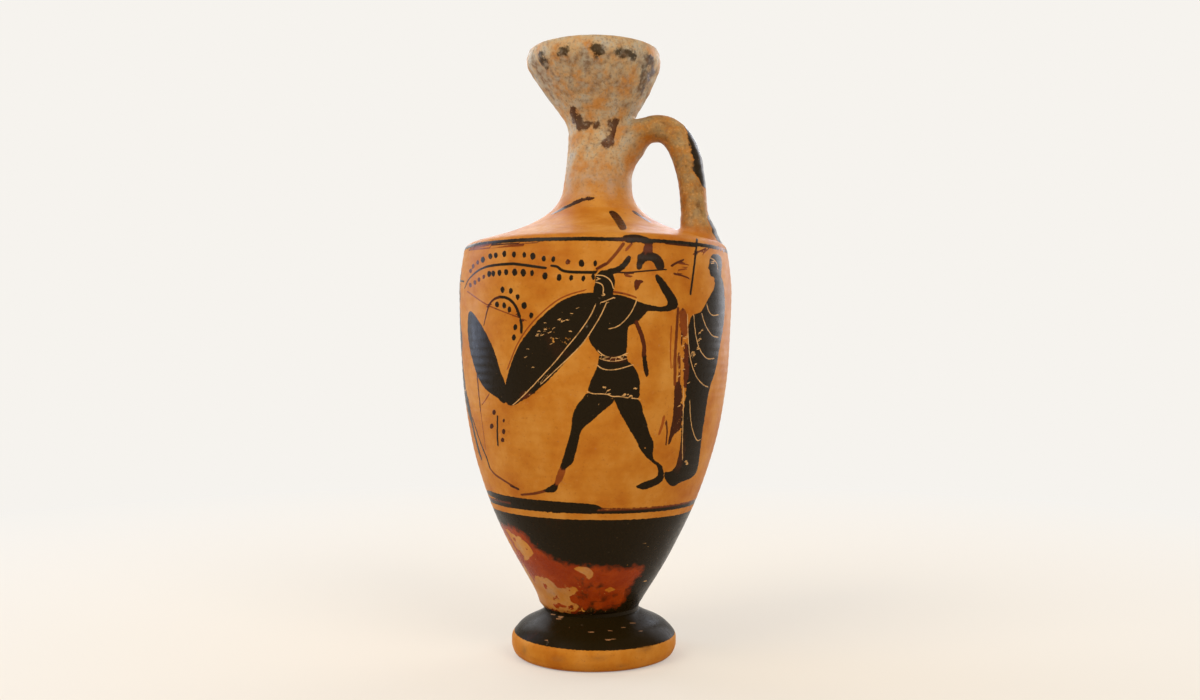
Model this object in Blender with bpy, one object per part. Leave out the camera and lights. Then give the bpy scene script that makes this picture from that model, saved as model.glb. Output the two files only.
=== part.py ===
"""Black-figure lekythos, a one-handled oil flask thrown in parts and luted together.

The foot, the body with its shoulder, and the neck with its mouth are turned pieces. The handle is
a pulled strap pressed on to the neck and the shoulder. Each join holds its own layer of luting slip.
Units are metres and +Z is up. The origin is on the vessel's axis at the level that it stands on,
and the handle lies along +X.
"""

import math
from bisect import bisect_left

import bmesh
import bpy
from mathutils import Matrix, Vector
from mathutils.geometry import interpolate_bezier, intersect_line_line_2d

MM = 0.001

# Joins: a layer of luting slip with a hairline gap on each side of it.
GAP = 0.3 * MM
SLIP = 0.6 * MM
JOIN = SLIP + 2 * GAP

# Foot: a thick disc with a rounded edge, a short stem and a hollow underneath.
FOOT_RADIUS = 27.4 * MM
FOOT_EDGE_HEIGHT = 8.5 * MM
FOOT_EDGE_ROUND = 2.0 * MM
FOOT_HEIGHT = 14.9 * MM
FOOT_TOP_SLOPE = math.radians(18)
FOOT_TOP_PULL = 4.0 * MM
STEM_RADIUS = 15.0 * MM
STEM_PULL = 3.9 * MM
STEM_FLARE = math.radians(45)
HOLLOW_RADIUS = 18.5 * MM
HOLLOW_DEPTH = 4.5 * MM
HOLLOW_EDGE_SLOPE = math.radians(60)
DISH_DEPTH = 1.6 * MM

# Body: an ovoid wall on a narrow base, with a sloping shoulder set off by a rounded corner.
BODY_RADIUS = 45.0 * MM
BODY_HEIGHT = 119.8 * MM
BODY_WALL = 4.0 * MM
BASE_WALL = 5.0 * MM
FLOOR_THICKNESS = 6.0 * MM
FLOOR_ROUND = 3.0 * MM
BASE_ANGLE = math.radians(59.3)
BASE_PULL = 45.7 * MM
BELLY_DROP = 14.7 * MM
BELLY_PULL = 47.9 * MM
SHOULDER_INSET = 1.5 * MM
SHOULDER_DRAW = 4.5 * MM
SHOULDER_RISE = 20.3 * MM
SHOULDER_SLOPE = math.radians(15.9)
SHOULDER_PULL = 16.7 * MM
CORNER_RADIUS = 2.2 * MM

# Neck and mouth: a slim tube that spreads on to the shoulder and flares into a cup-shaped mouth.
NECK_RADIUS = 10.35 * MM
NECK_LENGTH = 19.0 * MM
NECK_WALL = 4.0 * MM
NECK_SPREAD = 0.95 * MM
NECK_SKIRT = 4.6 * MM
NECK_PULL = 9.2 * MM
WAIST_PULL = 5.0 * MM
FLARE_PULL = 4.4 * MM
MOUTH_RADIUS = 22.0 * MM
CUP_ANGLE = math.radians(62.7)
CUP_DEPTH = 17.0 * MM
CUP_PULL = 11.1 * MM
CHEEK_WIDTH = 3.0 * MM
CHEEK_HEIGHT = 6.7 * MM
CHEEK_PULL = 2.0 * MM
LIP_HEIGHT = 3.7 * MM
LIP_WIDTH = 3.4 * MM
LIP_DROP = 1.2 * MM
FUNNEL_PULL = 9.0 * MM

# Handle: a strap of oval section that springs from the neck, bends over and drops to the shoulder.
HANDLE_THICKNESS = 8.0 * MM
HANDLE_WIDTH = 11.5 * MM
HANDLE_REACH = 10.65 * MM
HANDLE_ARCH = 4.3 * MM
HANDLE_DROP = 20.9 * MM
HANDLE_INSET = 8.7 * MM
HANDLE_LEAN = 1.8 * MM
ROOT_BELOW_WAIST = 3.4 * MM
FOOT_SINK = 6.0 * MM
ROOT_SPREAD_THICKNESS = 6.0 * MM
ROOT_SPREAD_WIDTH = 2.5 * MM
FOOT_SPREAD_THICKNESS = 4.0 * MM
FOOT_SPREAD_WIDTH = 3.0 * MM
SPREAD_REACH = 9.0 * MM

# Levels and radii that follow from the sizes above.
SHOULDER_HEIGHT = FOOT_HEIGHT + BODY_HEIGHT
SHOULDER_RADIUS = BODY_RADIUS - SHOULDER_INSET
BELLY_HEIGHT = SHOULDER_HEIGHT - BELLY_DROP
NECK_START_HEIGHT = SHOULDER_HEIGHT + SHOULDER_RISE
WAIST_HEIGHT = NECK_START_HEIGHT + NECK_LENGTH
CUP_HEIGHT = WAIST_HEIGHT + CUP_DEPTH
CUP_RADIUS = MOUTH_RADIUS - CHEEK_WIDTH
MOUTH_HEIGHT = CUP_HEIGHT + CHEEK_HEIGHT
MOUTH_TOP = MOUTH_HEIGHT + LIP_HEIGHT
ROOT_SINK = NECK_RADIUS * 0.8
HANDLE_ROOT_HEIGHT = WAIST_HEIGHT - ROOT_BELOW_WAIST
HANDLE_TOP_RADIUS = NECK_RADIUS + HANDLE_REACH
HANDLE_TOP_HEIGHT = HANDLE_ROOT_HEIGHT + HANDLE_ARCH
HANDLE_FOOT_RADIUS = SHOULDER_RADIUS - HANDLE_INSET
HANDLE_SIDE_RADIUS = HANDLE_FOOT_RADIUS - HANDLE_LEAN
HANDLE_SIDE_HEIGHT = HANDLE_TOP_HEIGHT - HANDLE_DROP

# Collars of slip squeezed out round the handle's two ends.
COLLAR_WIDTH = 1.3 * MM
COLLAR_HEIGHT = 2.2 * MM

# Fineness of the facets.
TURN_SIDES = 44
STRAP_SIDES = 20
STRAP_STEP = 3.0 * MM
PATH_STEPS = 40
CUTTER_TURN = math.pi / TURN_SIDES
WELD = 0.001 * MM
SHARP_ANGLE = math.radians(40)

# Fired clay, black gloss slip and luting slip: (linear colour, roughness).
CLAY = ((0.52, 0.20, 0.055), 0.75)
BLACK_GLOSS = ((0.022, 0.019, 0.016), 0.38)
LUTING = ((0.45, 0.18, 0.06), 0.85)


def clear_scene():
    """Removes whatever the startup file holds."""
    for obj in list(bpy.data.objects):
        bpy.data.objects.remove(obj, do_unlink=True)


def finish_material(name, finish):
    """A material with the given colour and roughness."""
    colour, roughness = finish
    material = bpy.data.materials.new(name)
    material.use_nodes = True
    shader = material.node_tree.nodes["Principled BSDF"]
    shader.inputs["Base Color"].default_value = (*colour, 1.0)
    shader.inputs["Roughness"].default_value = roughness
    shader.inputs["Metallic"].default_value = 0.0
    return material


# Lines in the (radius, height) plane.

def point(radius, height):
    """A point of a turned outline."""
    return Vector((radius, height))


def along(angle, length):
    """A step of this length, at this angle above the horizontal."""
    return point(math.cos(angle) * length, math.sin(angle) * length)


def curve(start, start_pull, end_pull, end, steps):
    """Points of a cubic curve. The pulls are the steps from each end to its control point."""
    flat = [p.to_3d() for p in (start, start + start_pull, end + end_pull, end)]
    return [p.to_2d() for p in interpolate_bezier(*flat, steps + 1)]


def chain(*stretches):
    """One line from several that follow on, without the points that they share."""
    line = list(stretches[0])
    for following in stretches[1:]:
        line += [p for p in following if (p - line[-1]).length > WELD]
    return line


def distances(line):
    """The distance along a line at each of its points."""
    found = [0.0]
    for a, b in zip(line, line[1:]):
        found.append(found[-1] + (b - a).length)
    return found


def at_distance(line, run, distance):
    """The point that lies this far along a line, where run holds the line's distances."""
    i = min(max(bisect_left(run, distance), 1), len(line) - 1)
    share = (distance - run[i - 1]) / (run[i] - run[i - 1])
    return line[i - 1].lerp(line[i], share)


def stretch(line, start, end):
    """The part of a line between two distances along it."""
    run = distances(line)
    inside = [p for p, d in zip(line, run) if start + WELD < d < end - WELD]
    return [at_distance(line, run, start), *inside, at_distance(line, run, end)]


def sideways(line, first, last):
    """A line moved to its left, by first at its start and last at its end."""
    run = distances(line)
    moved = []
    for i, p in enumerate(line):
        way = (line[min(i + 1, len(line) - 1)] - line[max(i - 1, 0)]).normalized()
        amount = first + (last - first) * run[i] / run[-1]
        moved.append(p + point(-way.y, way.x) * amount)
    return moved


def above(line, height):
    """The part of a rising line that lies above a height."""
    i = next(i for i, p in enumerate(line) if p.y > height)
    share = (height - line[i - 1].y) / (line[i].y - line[i - 1].y)
    return [line[i - 1].lerp(line[i], share), *line[i:]]


def meet(first, second):
    """The first line as far as it crosses the second, and then the second."""
    for i, (a, b) in enumerate(zip(first, first[1:])):
        for j, (c, d) in enumerate(zip(second, second[1:])):
            crossing = intersect_line_line_2d(a, b, c, d)
            if crossing:
                return [*first[: i + 1], crossing, *second[j + 1:]]
    raise ValueError("the two lines don't cross")


# Outlines of the turned pieces.

def dish(lift):
    """The shallow dish where the body sits in the foot, from the axis out, raised by lift."""
    edge = point(STEM_RADIUS, FOOT_HEIGHT + lift)
    centre = point(0.0, edge.y - DISH_DEPTH)
    half = point(STEM_RADIUS / 2, 0.0)
    rim_pull = point(-STEM_RADIUS / 3, -DISH_DEPTH * 2 / 3)
    return curve(centre, half, rim_pull, edge, 4)


def foot_outline():
    """The foot, from the roof of its hollow round the edge to the middle of its dish."""
    rest = point(FOOT_RADIUS - FOOT_EDGE_ROUND, 0.0)
    widest = point(FOOT_RADIUS, FOOT_EDGE_HEIGHT / 2)
    brow = point(FOOT_RADIUS - FOOT_EDGE_ROUND * 0.8, FOOT_EDGE_HEIGHT)
    up = point(0.0, FOOT_EDGE_HEIGHT * 0.33)
    out = point(FOOT_EDGE_ROUND * 0.55, 0.0)
    hollow = curve(point(0.0, HOLLOW_DEPTH), point(HOLLOW_RADIUS / 2, 0.0),
                   along(math.pi - HOLLOW_EDGE_SLOPE, HOLLOW_DEPTH / 2), point(HOLLOW_RADIUS, 0.0), 5)
    edge = chain(curve(rest, out, -up, widest, 4), curve(widest, up, out, brow, 4))
    top = curve(brow, along(math.pi - FOOT_TOP_SLOPE, FOOT_TOP_PULL),
                along(-STEM_FLARE, STEM_PULL), point(STEM_RADIUS, FOOT_HEIGHT), 6)
    return chain(hollow, edge, top, dish(0.0)[::-1])


def foot_slip_outline():
    """The layer of slip between the foot's dish and the body's base."""
    return chain(dish(GAP), dish(GAP + SLIP)[::-1])


def wall_line():
    """The outside of the body, from its base up to the corner of the shoulder."""
    base = point(STEM_RADIUS, FOOT_HEIGHT + JOIN)
    belly = point(BODY_RADIUS, BELLY_HEIGHT)
    edge = point(SHOULDER_RADIUS, SHOULDER_HEIGHT)
    lower = curve(base, along(BASE_ANGLE, BASE_PULL), point(0.0, -BELLY_PULL), belly, 14)
    upper = curve(belly, point(0.0, SHOULDER_DRAW), point(SHOULDER_DRAW * 0.09, -SHOULDER_DRAW), edge, 3)
    return chain(lower, upper)


def corner_line():
    """The rounded corner between the wall and the shoulder."""
    edge = point(SHOULDER_RADIUS, SHOULDER_HEIGHT)
    top = edge + point(-CORNER_RADIUS, CORNER_RADIUS * 0.9)
    return curve(edge, point(0.0, CORNER_RADIUS * 0.55), along(-SHOULDER_SLOPE, CORNER_RADIUS / 2), top, 3)


def shoulder_line():
    """The outside of the shoulder, from its corner up the sweep that becomes the neck."""
    neck = point(NECK_RADIUS + NECK_SPREAD, NECK_START_HEIGHT)
    return curve(corner_line()[-1], along(math.pi - SHOULDER_SLOPE, SHOULDER_PULL),
                 point(0.0, -NECK_PULL), neck, 14)


def neck_line():
    """The outside of the neck, from the shoulder's sweep to its narrow waist."""
    start = shoulder_line()[-1]
    waist = point(NECK_RADIUS, WAIST_HEIGHT)
    return curve(start, point(0.0, WAIST_PULL), point(0.0, -WAIST_PULL), waist, 4)


def mouth_line():
    """The outside of the mouth, from the waist up the cup to the top of its lip."""
    waist = point(NECK_RADIUS, WAIST_HEIGHT)
    cup = point(CUP_RADIUS, CUP_HEIGHT)
    widest = point(MOUTH_RADIUS, MOUTH_HEIGHT)
    top = point(MOUTH_RADIUS - LIP_DROP, MOUTH_TOP)
    flare = curve(waist, point(0.0, FLARE_PULL), along(math.pi + CUP_ANGLE, CUP_PULL), cup, 7)
    cheek = curve(cup, along(CUP_ANGLE, CHEEK_PULL), point(0.0, -CHEEK_PULL), widest, 3)
    lip = curve(widest, point(0.0, LIP_DROP), point(LIP_DROP * 0.75, 0.0), top, 3)
    return chain(flare, cheek, lip)


def neck_join():
    """How far along the shoulder's line the neck is luted on."""
    line = shoulder_line()
    run = distances(line)
    wanted = NECK_RADIUS + NECK_SKIRT
    i = next(i for i, p in enumerate(line) if p.x < wanted)
    share = (line[i - 1].x - wanted) / (line[i - 1].x - line[i].x)
    return run[i - 1] + share * (run[i] - run[i - 1])


def sweep_pair(start, end):
    """The outside and the inside of the shoulder's sweep between two distances along it."""
    outer = shoulder_line()
    inner = sideways(outer, BODY_WALL, NECK_WALL)
    share = distances(inner)[-1] / distances(outer)[-1]
    return stretch(outer, start, end), stretch(inner, start * share, end * share)


def body_outline():
    """The body, from the middle of its base round the wall and shoulder to the middle of its floor."""
    shoulder, shoulder_inside = sweep_pair(0.0, neck_join() - JOIN / 2)
    floor = dish(JOIN)[0].y + FLOOR_THICKNESS
    inner_wall = above(sideways(wall_line(), BASE_WALL, BODY_WALL), floor + FLOOR_ROUND)
    inside = meet(inner_wall, shoulder_inside)
    bowl = curve(inside[0], along(math.pi + BASE_ANGLE, FLOOR_ROUND),
                 point(inside[0].x / 2, 0.0), point(0.0, floor), 4)
    return chain(dish(JOIN), wall_line(), corner_line(), shoulder, inside[::-1], bowl)


def neck_slip_outline():
    """The ring of slip between the shoulder's opening and the foot of the neck."""
    outer, inner = sweep_pair(neck_join() - SLIP / 2, neck_join() + SLIP / 2)
    return chain(outer, inner[::-1])


def neck_outline():
    """The neck and mouth, up the outside, over the lip and back down the funnel and the bore."""
    end = distances(shoulder_line())[-1]
    sweep, sweep_inside = sweep_pair(neck_join() + JOIN / 2, end)
    bore = sideways(neck_line(), NECK_WALL, NECK_WALL)
    top = mouth_line()[-1]
    brink = top + point(-LIP_WIDTH, -LIP_DROP)
    lip = curve(top, point(-LIP_WIDTH / 2, 0.0), point(LIP_DROP * 0.4, LIP_DROP), brink, 3)
    funnel = curve(brink, along(math.pi + CUP_ANGLE, FUNNEL_PULL), point(0.0, FUNNEL_PULL), bore[-1], 6)
    return chain(sweep, neck_line(), mouth_line(), lip, funnel, bore[::-1], sweep_inside[::-1])


def vessel_side(clearance):
    """The outside of the shoulder, neck and mouth, moved outwards by a clearance."""
    line = chain(corner_line(), shoulder_line(), neck_line(), mouth_line())
    return sideways(line, -clearance, -clearance)


# The handle's strap.

def strap_path():
    """The strap's centre line, from inside the neck's wall to below the shoulder's surface."""
    root = point(NECK_RADIUS, HANDLE_ROOT_HEIGHT)
    top = point(HANDLE_TOP_RADIUS, HANDLE_TOP_HEIGHT)
    side = point(HANDLE_SIDE_RADIUS, HANDLE_SIDE_HEIGHT)
    shoulder = vessel_side(0.0)
    i = next(i for i, p in enumerate(shoulder) if p.x < HANDLE_FOOT_RADIUS)
    foot = point(HANDLE_FOOT_RADIUS, shoulder[i].y)
    rise = top - root
    over = side - top
    down = foot - side
    springing = point(rise.x / 4, rise.y / 2)
    upright = math.pi / 2 + SHOULDER_SLOPE
    sunk_root = root - springing.normalized() * ROOT_SINK
    sunk_foot = foot - along(upright, FOOT_SINK)
    spring = curve(root, springing, point(-rise.x * 0.42, 0.0), top, PATH_STEPS)
    bend = curve(top, point(over.x * 0.62, 0.0), point(-over.x * 0.08, -over.y * 0.53), side, PATH_STEPS)
    fall = curve(side, point(over.x * 0.04, over.y * 0.29), along(upright, down.length / 3), foot, PATH_STEPS)
    return chain([sunk_root, root], spring, bend, fall, [sunk_foot])


class Strap:
    """The handle's swept oval, which can be read at any distance along it and any angle round it."""

    def __init__(self):
        self.path = strap_path()
        self.run = distances(self.path)
        self.length = self.run[-1]

    def half_sizes(self, distance):
        """Half the strap's thickness and width, which spread towards both ends."""
        from_root = max(0.0, distance - ROOT_SINK)
        from_foot = max(0.0, self.length - distance - FOOT_SINK)
        root = max(0.0, 1 - from_root / SPREAD_REACH) ** 2
        foot = max(0.0, 1 - from_foot / SPREAD_REACH) ** 2
        thickness = HANDLE_THICKNESS + ROOT_SPREAD_THICKNESS * root + FOOT_SPREAD_THICKNESS * foot
        width = HANDLE_WIDTH + ROOT_SPREAD_WIDTH * root + FOOT_SPREAD_WIDTH * foot
        return thickness / 2, width / 2

    def surface(self, distance, angle, growth=0.0):
        """A point of the strap's skin, grown outwards by growth."""
        here = at_distance(self.path, self.run, distance)
        reach = STRAP_STEP / 2
        ahead = at_distance(self.path, self.run, min(distance + reach, self.length))
        behind = at_distance(self.path, self.run, max(distance - reach, 0.0))
        way = (ahead - behind).normalized()
        thickness, width = self.half_sizes(distance)
        out = here + point(-way.y, way.x) * ((thickness + growth) * math.cos(angle))
        return Vector((out.x, (width + growth) * math.sin(angle), out.y))

    def ring(self, distance, growth=0.0):
        """The points round the strap at one distance along it."""
        return [self.surface(distance, angle, growth) for angle in strap_angles()]


def strap_angles():
    """The angles of the corners of the strap's oval."""
    return [math.tau * i / STRAP_SIDES for i in range(STRAP_SIDES)]


# Solids.

def new_object(name, bm, material):
    """Closes a mesh's normals and links it to the scene as a named object."""
    bmesh.ops.remove_doubles(bm, verts=bm.verts, dist=WELD)
    bmesh.ops.recalc_face_normals(bm, faces=bm.faces)
    mesh = bpy.data.meshes.new(name)
    bm.to_mesh(mesh)
    bm.free()
    mesh.shade_smooth()
    mesh.set_sharp_from_angle(angle=SHARP_ANGLE)
    obj = bpy.data.objects.new(name, mesh)
    bpy.context.scene.collection.objects.link(obj)
    if material:
        mesh.materials.append(material)
    return obj


def turned(name, outline, material=None, turn=0.0):
    """A solid spun about the vessel's axis from an outline that ends on the axis or closes on itself."""
    bm = bmesh.new()
    corners = [bm.verts.new((p.x, 0.0, p.y)) for p in outline]
    edges = [bm.edges.new(pair) for pair in zip(corners, corners[1:])]
    if outline[0].x > WELD:
        edges.append(bm.edges.new((corners[-1], corners[0])))
    bmesh.ops.spin(bm, geom=corners + edges, cent=(0, 0, 0), axis=(0, 0, 1),
                   angle=math.tau, steps=TURN_SIDES, use_merge=True)
    bmesh.ops.rotate(bm, verts=bm.verts, matrix=Matrix.Rotation(turn, 3, "Z"))
    return new_object(name, bm, material)


def lofted(name, rings, material=None):
    """A solid bridged from ring to ring, with its first and last rings filled."""
    bm = bmesh.new()
    loops = []
    for ring in rings:
        corners = [bm.verts.new(p) for p in ring]
        loops.append([bm.edges.new(pair) for pair in zip(corners, corners[1:] + corners[:1])])
    for low, high in zip(loops, loops[1:]):
        bmesh.ops.bridge_loops(bm, edges=low + high)
    for end in (loops[0], loops[-1]):
        bmesh.ops.edgeloop_fill(bm, edges=end)
    return new_object(name, bm, material)


def as_cutter(obj):
    """Marks an object as a tool that shapes others and isn't a piece itself."""
    obj.hide_render = True
    obj.display_type = "WIRE"
    return obj


def shape(obj, operation, *cutters):
    """Puts a Boolean of this kind on an object for each of the cutters."""
    for cutter in cutters:
        modifier = obj.modifiers.new(operation.lower() + " " + cutter.name, "BOOLEAN")
        modifier.operation = operation
        modifier.solver = "EXACT"
        modifier.object = cutter
    return obj


def vessel_cutter(name, clearance):
    """The vessel's shoulder, neck and mouth as a solid, grown by a clearance, to seat the handle on.

    Below the shoulder it is wider than the vessel, so that it holds the whole of a sunk strap.
    """
    side = vessel_side(clearance)
    base = point(BODY_RADIUS + HANDLE_THICKNESS, SHOULDER_HEIGHT - BELLY_DROP - FOOT_SINK)
    outline = [point(0.0, base.y), base, point(base.x, side[0].y), *side, point(0.0, side[-1].y)]
    return as_cutter(turned(name, outline, turn=CUTTER_TURN))


def strap_rings(strap, growth, start=0.0, end=1.0):
    """Rings along the strap from one share of its length to another, grown by growth."""
    count = math.ceil((end - start) * strap.length / STRAP_STEP)
    shares = [start + (end - start) * i / count for i in range(count + 1)]
    return [strap.ring(strap.length * share, growth) for share in shares]


def build_turned_pieces(clay, gloss, luting):
    """The foot, the body, the neck with the mouth, and the slip between them."""
    turned("foot", foot_outline(), gloss)
    turned("foot_luting_slip", foot_slip_outline(), luting)
    turned("body", body_outline(), clay)
    turned("neck_luting_slip", neck_slip_outline(), luting)
    turned("neck_and_mouth", neck_outline(), clay)


def build_handle(clay, luting):
    """The handle, and the collar of slip that holds each of its ends."""
    strap = Strap()
    slip_seat = vessel_cutter("slip_seat", GAP)
    slip_face = vessel_cutter("slip_face", GAP + SLIP)
    handle_seat = vessel_cutter("handle_seat", JOIN)
    collar_limit = vessel_cutter("collar_limit", COLLAR_HEIGHT)
    shape(lofted("handle", strap_rings(strap, 0.0), clay), "DIFFERENCE", handle_seat)
    tang = as_cutter(lofted("tang", strap_rings(strap, GAP)))
    shape(tang, "DIFFERENCE", slip_face)
    for name, start, end in (("handle_upper_luting_slip", 0.0, 0.5), ("handle_lower_luting_slip", 0.5, 1.0)):
        collar = lofted(name, strap_rings(strap, COLLAR_WIDTH, start, end), luting)
        shape(collar, "INTERSECT", collar_limit)
        shape(collar, "DIFFERENCE", slip_seat, tang)


def main():
    """Builds every piece of the vessel in its place."""
    clear_scene()
    clay = finish_material("fired_clay", CLAY)
    gloss = finish_material("black_gloss_slip", BLACK_GLOSS)
    luting = finish_material("luting_slip", LUTING)
    build_turned_pieces(clay, gloss, luting)
    build_handle(clay, luting)


main()
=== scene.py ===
"""Visual model of a black-figure lekythos: thrown clay, painted, incised, fired and long buried.

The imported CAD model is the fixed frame. Every piece here stands for one of its nodes and is built
in millimetres on the same axis, then scaled to metres. The painting is drawn as a painter would:
outlines filled with slip, single pulls of a brush, and lines scratched through with a graver.
"""

import logging
import math
from collections.abc import Iterable, Sequence
from dataclasses import dataclass
from enum import Enum

import bmesh
import bpy
import numpy as np
from mathutils import Matrix, Vector, noise


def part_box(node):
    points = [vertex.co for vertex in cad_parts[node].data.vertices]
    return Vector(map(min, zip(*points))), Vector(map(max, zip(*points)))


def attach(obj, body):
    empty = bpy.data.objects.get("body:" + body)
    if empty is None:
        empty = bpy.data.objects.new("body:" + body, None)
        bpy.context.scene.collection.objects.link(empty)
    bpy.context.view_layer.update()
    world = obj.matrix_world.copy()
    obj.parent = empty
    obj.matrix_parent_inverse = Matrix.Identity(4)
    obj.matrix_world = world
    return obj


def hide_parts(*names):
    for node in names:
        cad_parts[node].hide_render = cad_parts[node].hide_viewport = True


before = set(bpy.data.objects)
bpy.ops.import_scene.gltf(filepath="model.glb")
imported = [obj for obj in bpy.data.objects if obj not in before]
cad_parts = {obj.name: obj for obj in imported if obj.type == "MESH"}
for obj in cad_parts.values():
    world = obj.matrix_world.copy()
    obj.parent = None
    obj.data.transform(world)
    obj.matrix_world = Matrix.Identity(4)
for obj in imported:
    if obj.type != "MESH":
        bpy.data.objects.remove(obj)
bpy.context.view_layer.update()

LOG = logging.getLogger("lekythos")
MM = 0.001
FAR = 9.0
FINE = 0.2
TOUCHING = 1e-6
TINY = 1e-9
CURVE_POINTS = 60
CORNER_CUTS = 3
DOT_CORNERS = 8
Point = tuple[float, float]


def frame_size(node: str, axis: int) -> float:
    """The highest coordinate of a CAD node along an axis, in millimetres."""
    return round(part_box(node)[1][axis] / MM, 3)


# Lines in the (radius, height) plane, in millimetres.

def along(angle: float, length: float) -> np.ndarray:
    """A step of this length at an angle in degrees above the horizontal."""
    return length * np.array((math.cos(math.radians(angle)), math.sin(math.radians(angle))))


def run_of(line: np.ndarray) -> np.ndarray:
    """The distance along a line at each of its points."""
    return np.concatenate(([0.0], np.cumsum(np.linalg.norm(np.diff(line, axis=0), axis=1))))


def graded(points: Sequence[Point], height: np.ndarray) -> np.ndarray:
    """The amount at some heights, from amounts at a few heights."""
    return np.interp(height, *np.transpose(points))


def evenly(line: np.ndarray, step: float = FINE) -> np.ndarray:
    """A line's points set out again at equal distances.

    Args:
        line: points of the line.
        step: about how far apart the new points are.

    Returns:
        The new points, with the same ends.
    """
    run = run_of(line)
    marks = np.linspace(0.0, run[-1], max(2, math.ceil(run[-1] / step) + 1))
    return np.column_stack([np.interp(marks, run, line[:, k]) for k in range(line.shape[1])])


def curve(start: Iterable, start_pull: Iterable, end_pull: Iterable, end: Iterable) -> np.ndarray:
    """A cubic curve.

    Args:
        start: its first point.
        start_pull: the step from there to the first control point.
        end_pull: the step from the end to the second control point.
        end: its last point.

    Returns:
        Points along the curve.
    """
    first, last = np.array(start, float), np.array(end, float)
    corners = (first, first + np.array(start_pull), last + np.array(end_pull), last)
    t = np.linspace(0.0, 1.0, CURVE_POINTS)[:, None]
    weights = ((1 - t) ** 3, 3 * t * (1 - t) ** 2, 3 * t ** 2 * (1 - t), t ** 3)
    return sum(w * c for w, c in zip(weights, corners))


def chain(*lines: np.ndarray) -> np.ndarray:
    """One line from several that follow on.

    Args:
        lines: the lines, in order.

    Returns:
        Their points, with those that they share once.
    """
    line = lines[0]
    for following in lines[1:]:
        joined = np.linalg.norm(following[0] - line[-1]) < TOUCHING
        line = np.vstack((line, following[1:] if joined else following))
    return line


def inwards(line: np.ndarray, first: float, last: float) -> np.ndarray:
    """A line moved to its left.

    Args:
        line: points of the line.
        first: how far its start moves.
        last: how far its end moves.

    Returns:
        The moved points.
    """
    run = run_of(line)
    way = np.gradient(line, axis=0)
    way /= np.linalg.norm(way, axis=1)[:, None]
    amount = first + (last - first) * run / run[-1]
    return line + np.column_stack((-way[:, 1], way[:, 0])) * amount[:, None]


def softened(points: Sequence[Point], closed: bool) -> np.ndarray:
    """A hand-drawn line through a few points, with its corners cut again and again.

    Args:
        points: corners of the line.
        closed: whether its end joins its start.

    Returns:
        Points of the softened line. A closed one ends where it starts.
    """
    line = np.array(points, float)
    for _ in range(CORNER_CUTS):
        nexts = np.roll(line, -1, axis=0) if closed else line[1:]
        heads = line if closed else line[:-1]
        cut = np.stack((0.75 * heads + 0.25 * nexts, 0.25 * heads + 0.75 * nexts), axis=1).reshape(-1, 2)
        line = cut if closed else np.vstack((line[:1], cut, line[-1:]))
    return np.vstack((line, line[:1])) if closed else line


# The vessel's sub-assemblies. Sizes are in millimetres and angles in degrees.

@dataclass(frozen=True)
class View:
    """Where the painted front is seen from, which is also how its drawing is laid on the wall."""

    turn: float = 13.0
    distance: float = 378.0
    height: float = 99.1
    drawing: float = 333.0
    lens: float = 33.72
    sensor: float = 36.0
    image_width: float = 1200.0
    shift_right: float = 4.7
    shift_up: float = 7.0
    near_clip: float = 10.0

    def right(self) -> np.ndarray:
        """The level direction to the right of the view."""
        turn = math.radians(self.turn)
        return np.array((math.cos(turn), math.sin(turn)))

    def angles(self, places: np.ndarray) -> np.ndarray:
        """The angle of places round the axis, from the side that faces the view, in radians."""
        return np.arctan2(places[:, 0], -places[:, 1]) - math.radians(self.turn)

    def camera(self) -> bpy.types.Object:
        """Adds the camera and makes it the scene's.

        Returns:
            The camera object.
        """
        data = bpy.data.cameras.new("view_camera")
        data.lens, data.sensor_width = self.lens, self.sensor
        data.shift_x = self.shift_right / self.image_width
        data.shift_y = self.shift_up / self.image_width
        data.clip_start = self.near_clip * MM
        camera = bpy.data.objects.new("view_camera", data)
        turn = math.radians(self.turn)
        camera.location = Vector((math.sin(turn), -math.cos(turn), 0.0)) * self.distance * MM
        camera.location.z = self.height * MM
        camera.rotation_euler = (math.pi / 2, 0.0, turn)
        bpy.context.scene.collection.objects.link(camera)
        bpy.context.scene.camera = camera
        return camera


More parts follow.
